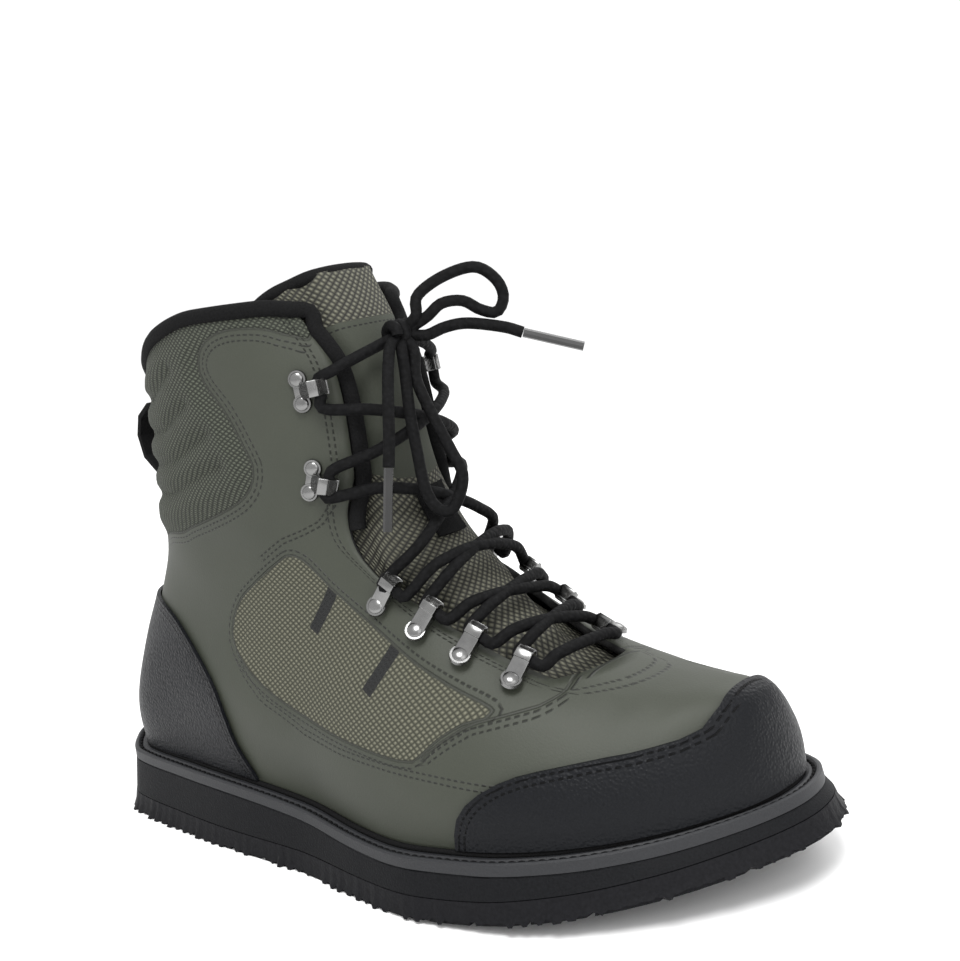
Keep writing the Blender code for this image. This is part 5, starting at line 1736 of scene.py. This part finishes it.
inner = WELT_WIDTH - WELT_PLAY
groove = (SOLE_FLARE + inner) / 2
profile = ((SOLE_FLARE - 0.0002, 0.0), (SOLE_FLARE - 0.0002, WELT_HEIGHT - 0.0006),
           (SOLE_FLARE + 0.0005, WELT_HEIGHT),
           (groove - WELT_GROOVE_WIDTH / 2, WELT_HEIGHT), (groove, WELT_HEIGHT - WELT_GROOVE_DEPTH),
           (groove + WELT_GROOVE_WIDTH / 2, WELT_HEIGHT), (inner, WELT_HEIGHT), (inner, 0.0))
strip = ring_mesh([sole_ring(inset, lambda x, rise=rise: midsole_top(x) + FIT + rise)
                   for inset, rise in profile])
sewn_strip = finished("sewn_strip", strip, "strip_grey", WELT_STRIP.material, smooth_angle=0.6)
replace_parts(sewn_strip, "welt")

groove_height = FIT + WELT_HEIGHT - WELT_GROOVE_DEPTH * 0.5
stitch_line = sole_ring(groove, lambda x: midsole_top(x) + groove_height, 160)
closed_line = np.vstack([stitch_line, stitch_line[:1]])
walk = arc_lengths(closed_line)
stitch_mesh = bmesh.new()
for at in np.arange(0.0, walk[-1] - 0.002, STITCH_PITCH):
    here = Vector([np.interp(at, walk, closed_line[:, axis]) for axis in range(3)])
    ahead = Vector([np.interp(at + 0.001, walk, closed_line[:, axis]) for axis in range(3)])
    turned = (ahead - here).to_track_quat("X", "Z").to_matrix().to_4x4()
    bead = Matrix.Translation(here) @ turned @ Matrix.Diagonal((1.15, 0.5, 0.45, 1.0))
    bmesh.ops.create_icosphere(stitch_mesh, subdivisions=1, radius=STITCH_LENGTH / 2, matrix=bead)
stitches = finished("strip_stitches", stitch_mesh, "lace_cord", LACE.material)

cord_height = FIT + WELT_HEIGHT + 0.0006
cord_line = sole_ring(WELT_WIDTH - 0.0012, lambda x: midsole_top(x) + cord_height, 120)
finished("rand_cord", cord_tube(np.vstack([cord_line, cord_line[:1]]), RAND_CORD, 8),
         "black_textile", WEBBING.material)
print("stitches in the strip, faces:", len(stitches.data.polygons))

# %% [markdown]
# ## Piping
# The collar's padded piping is a smooth tube along the collar and down both edges of the throat.
# The solids that stay, and those that a piece replaces, all take a finish as well.

# %% Piping and finishes on the solids
PIPING_DROP = 0.0008
COLLAR_PIPING = BINDING_DIAMETER * 1.25
binding_route = np.array(smooth_path(binding_points(), CORD_STEP))
collar_tube = cord_tube(binding_route - np.array((0, 0, PIPING_DROP)), COLLAR_PIPING, 14)
collar = finished("collar_piping", collar_tube, "black_textile", WEBBING.material)
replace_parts(collar, "collar_binding")

NODE_FINISHES = {
    "outsole": OUTSOLE_RUBBER, "midsole": MIDSOLE_FOAM, "welt": WELT_STRIP, "insole": FOOTBED_CLOTH,
    "pull_loop": WEBBING, "lace_keeper": WEBBING, "lace_tip_right": CLEAR_TIP, "lace_tip_left": CLEAR_TIP,
    "upper": UPPER, "toe_cap": PEBBLE, "heel_counter": PEBBLE, "tongue": TONGUE, "collar_binding": WEBBING,
}
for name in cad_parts:
    finish = NODE_FINISHES.get(name) or (METAL if name.startswith(("eyelet", "lace_hook")) else LACE)
    solid = bpy.data.objects[name]
    for slot in solid.material_slots:
        slot.material = finish.material
print("finishes on", len(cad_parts), "solids")

# %% [markdown]
# ## Floor and light
# A pale floor and three soft lights, as in a small studio: a key high over the toe, a fill from
# the front and a rim from behind that draws the collar's edge.

# %% Studio
FLOOR_REACH = 80.0
STUDIO_WHITE = (0.95, 0.95, 0.95)
WORLD_STRENGTH = 1.15
LAMP_TARGET = Vector((0, 0, 0.08))
floor_mesh = bmesh.new()
bmesh.ops.create_grid(floor_mesh, x_segments=1, y_segments=1, size=FLOOR_REACH)
plate = bpy.data.meshes.new("studio_floor")
floor_mesh.to_mesh(plate)
floor_mesh.free()
FLOOR = Finish("studio_floor", roughness=0.9)
FLOOR.colour(STUDIO_WHITE)
plate.materials.append(FLOOR.material)
floor = linked("studio_floor", plate)

world = bpy.data.worlds.new("studio")
world.use_nodes = True
sky = world.node_tree.nodes["Background"].inputs
sky["Color"].default_value = (*STUDIO_WHITE, 1.0)
sky["Strength"].default_value = WORLD_STRENGTH
bpy.context.scene.world = world
bpy.context.scene.view_settings.view_transform = "Standard"
for name, place, power, size in (
        ("key_light", (0.45, -0.55, 1.35), 16.0, 0.6),
        ("fill_light", (1.25, -0.45, 0.75), 4.0, 0.9),
        ("rim_light", (0.1, 1.1, 1.0), 6.0, 0.8)):
    lamp = bpy.data.lights.new(name, "AREA")
    lamp.energy = power
    lamp.size = size
    light = linked(name, lamp)
    light.location = place
    light.rotation_euler = (LAMP_TARGET - Vector(place)).to_track_quat("-Z", "Y").to_euler()
print("studio ready")
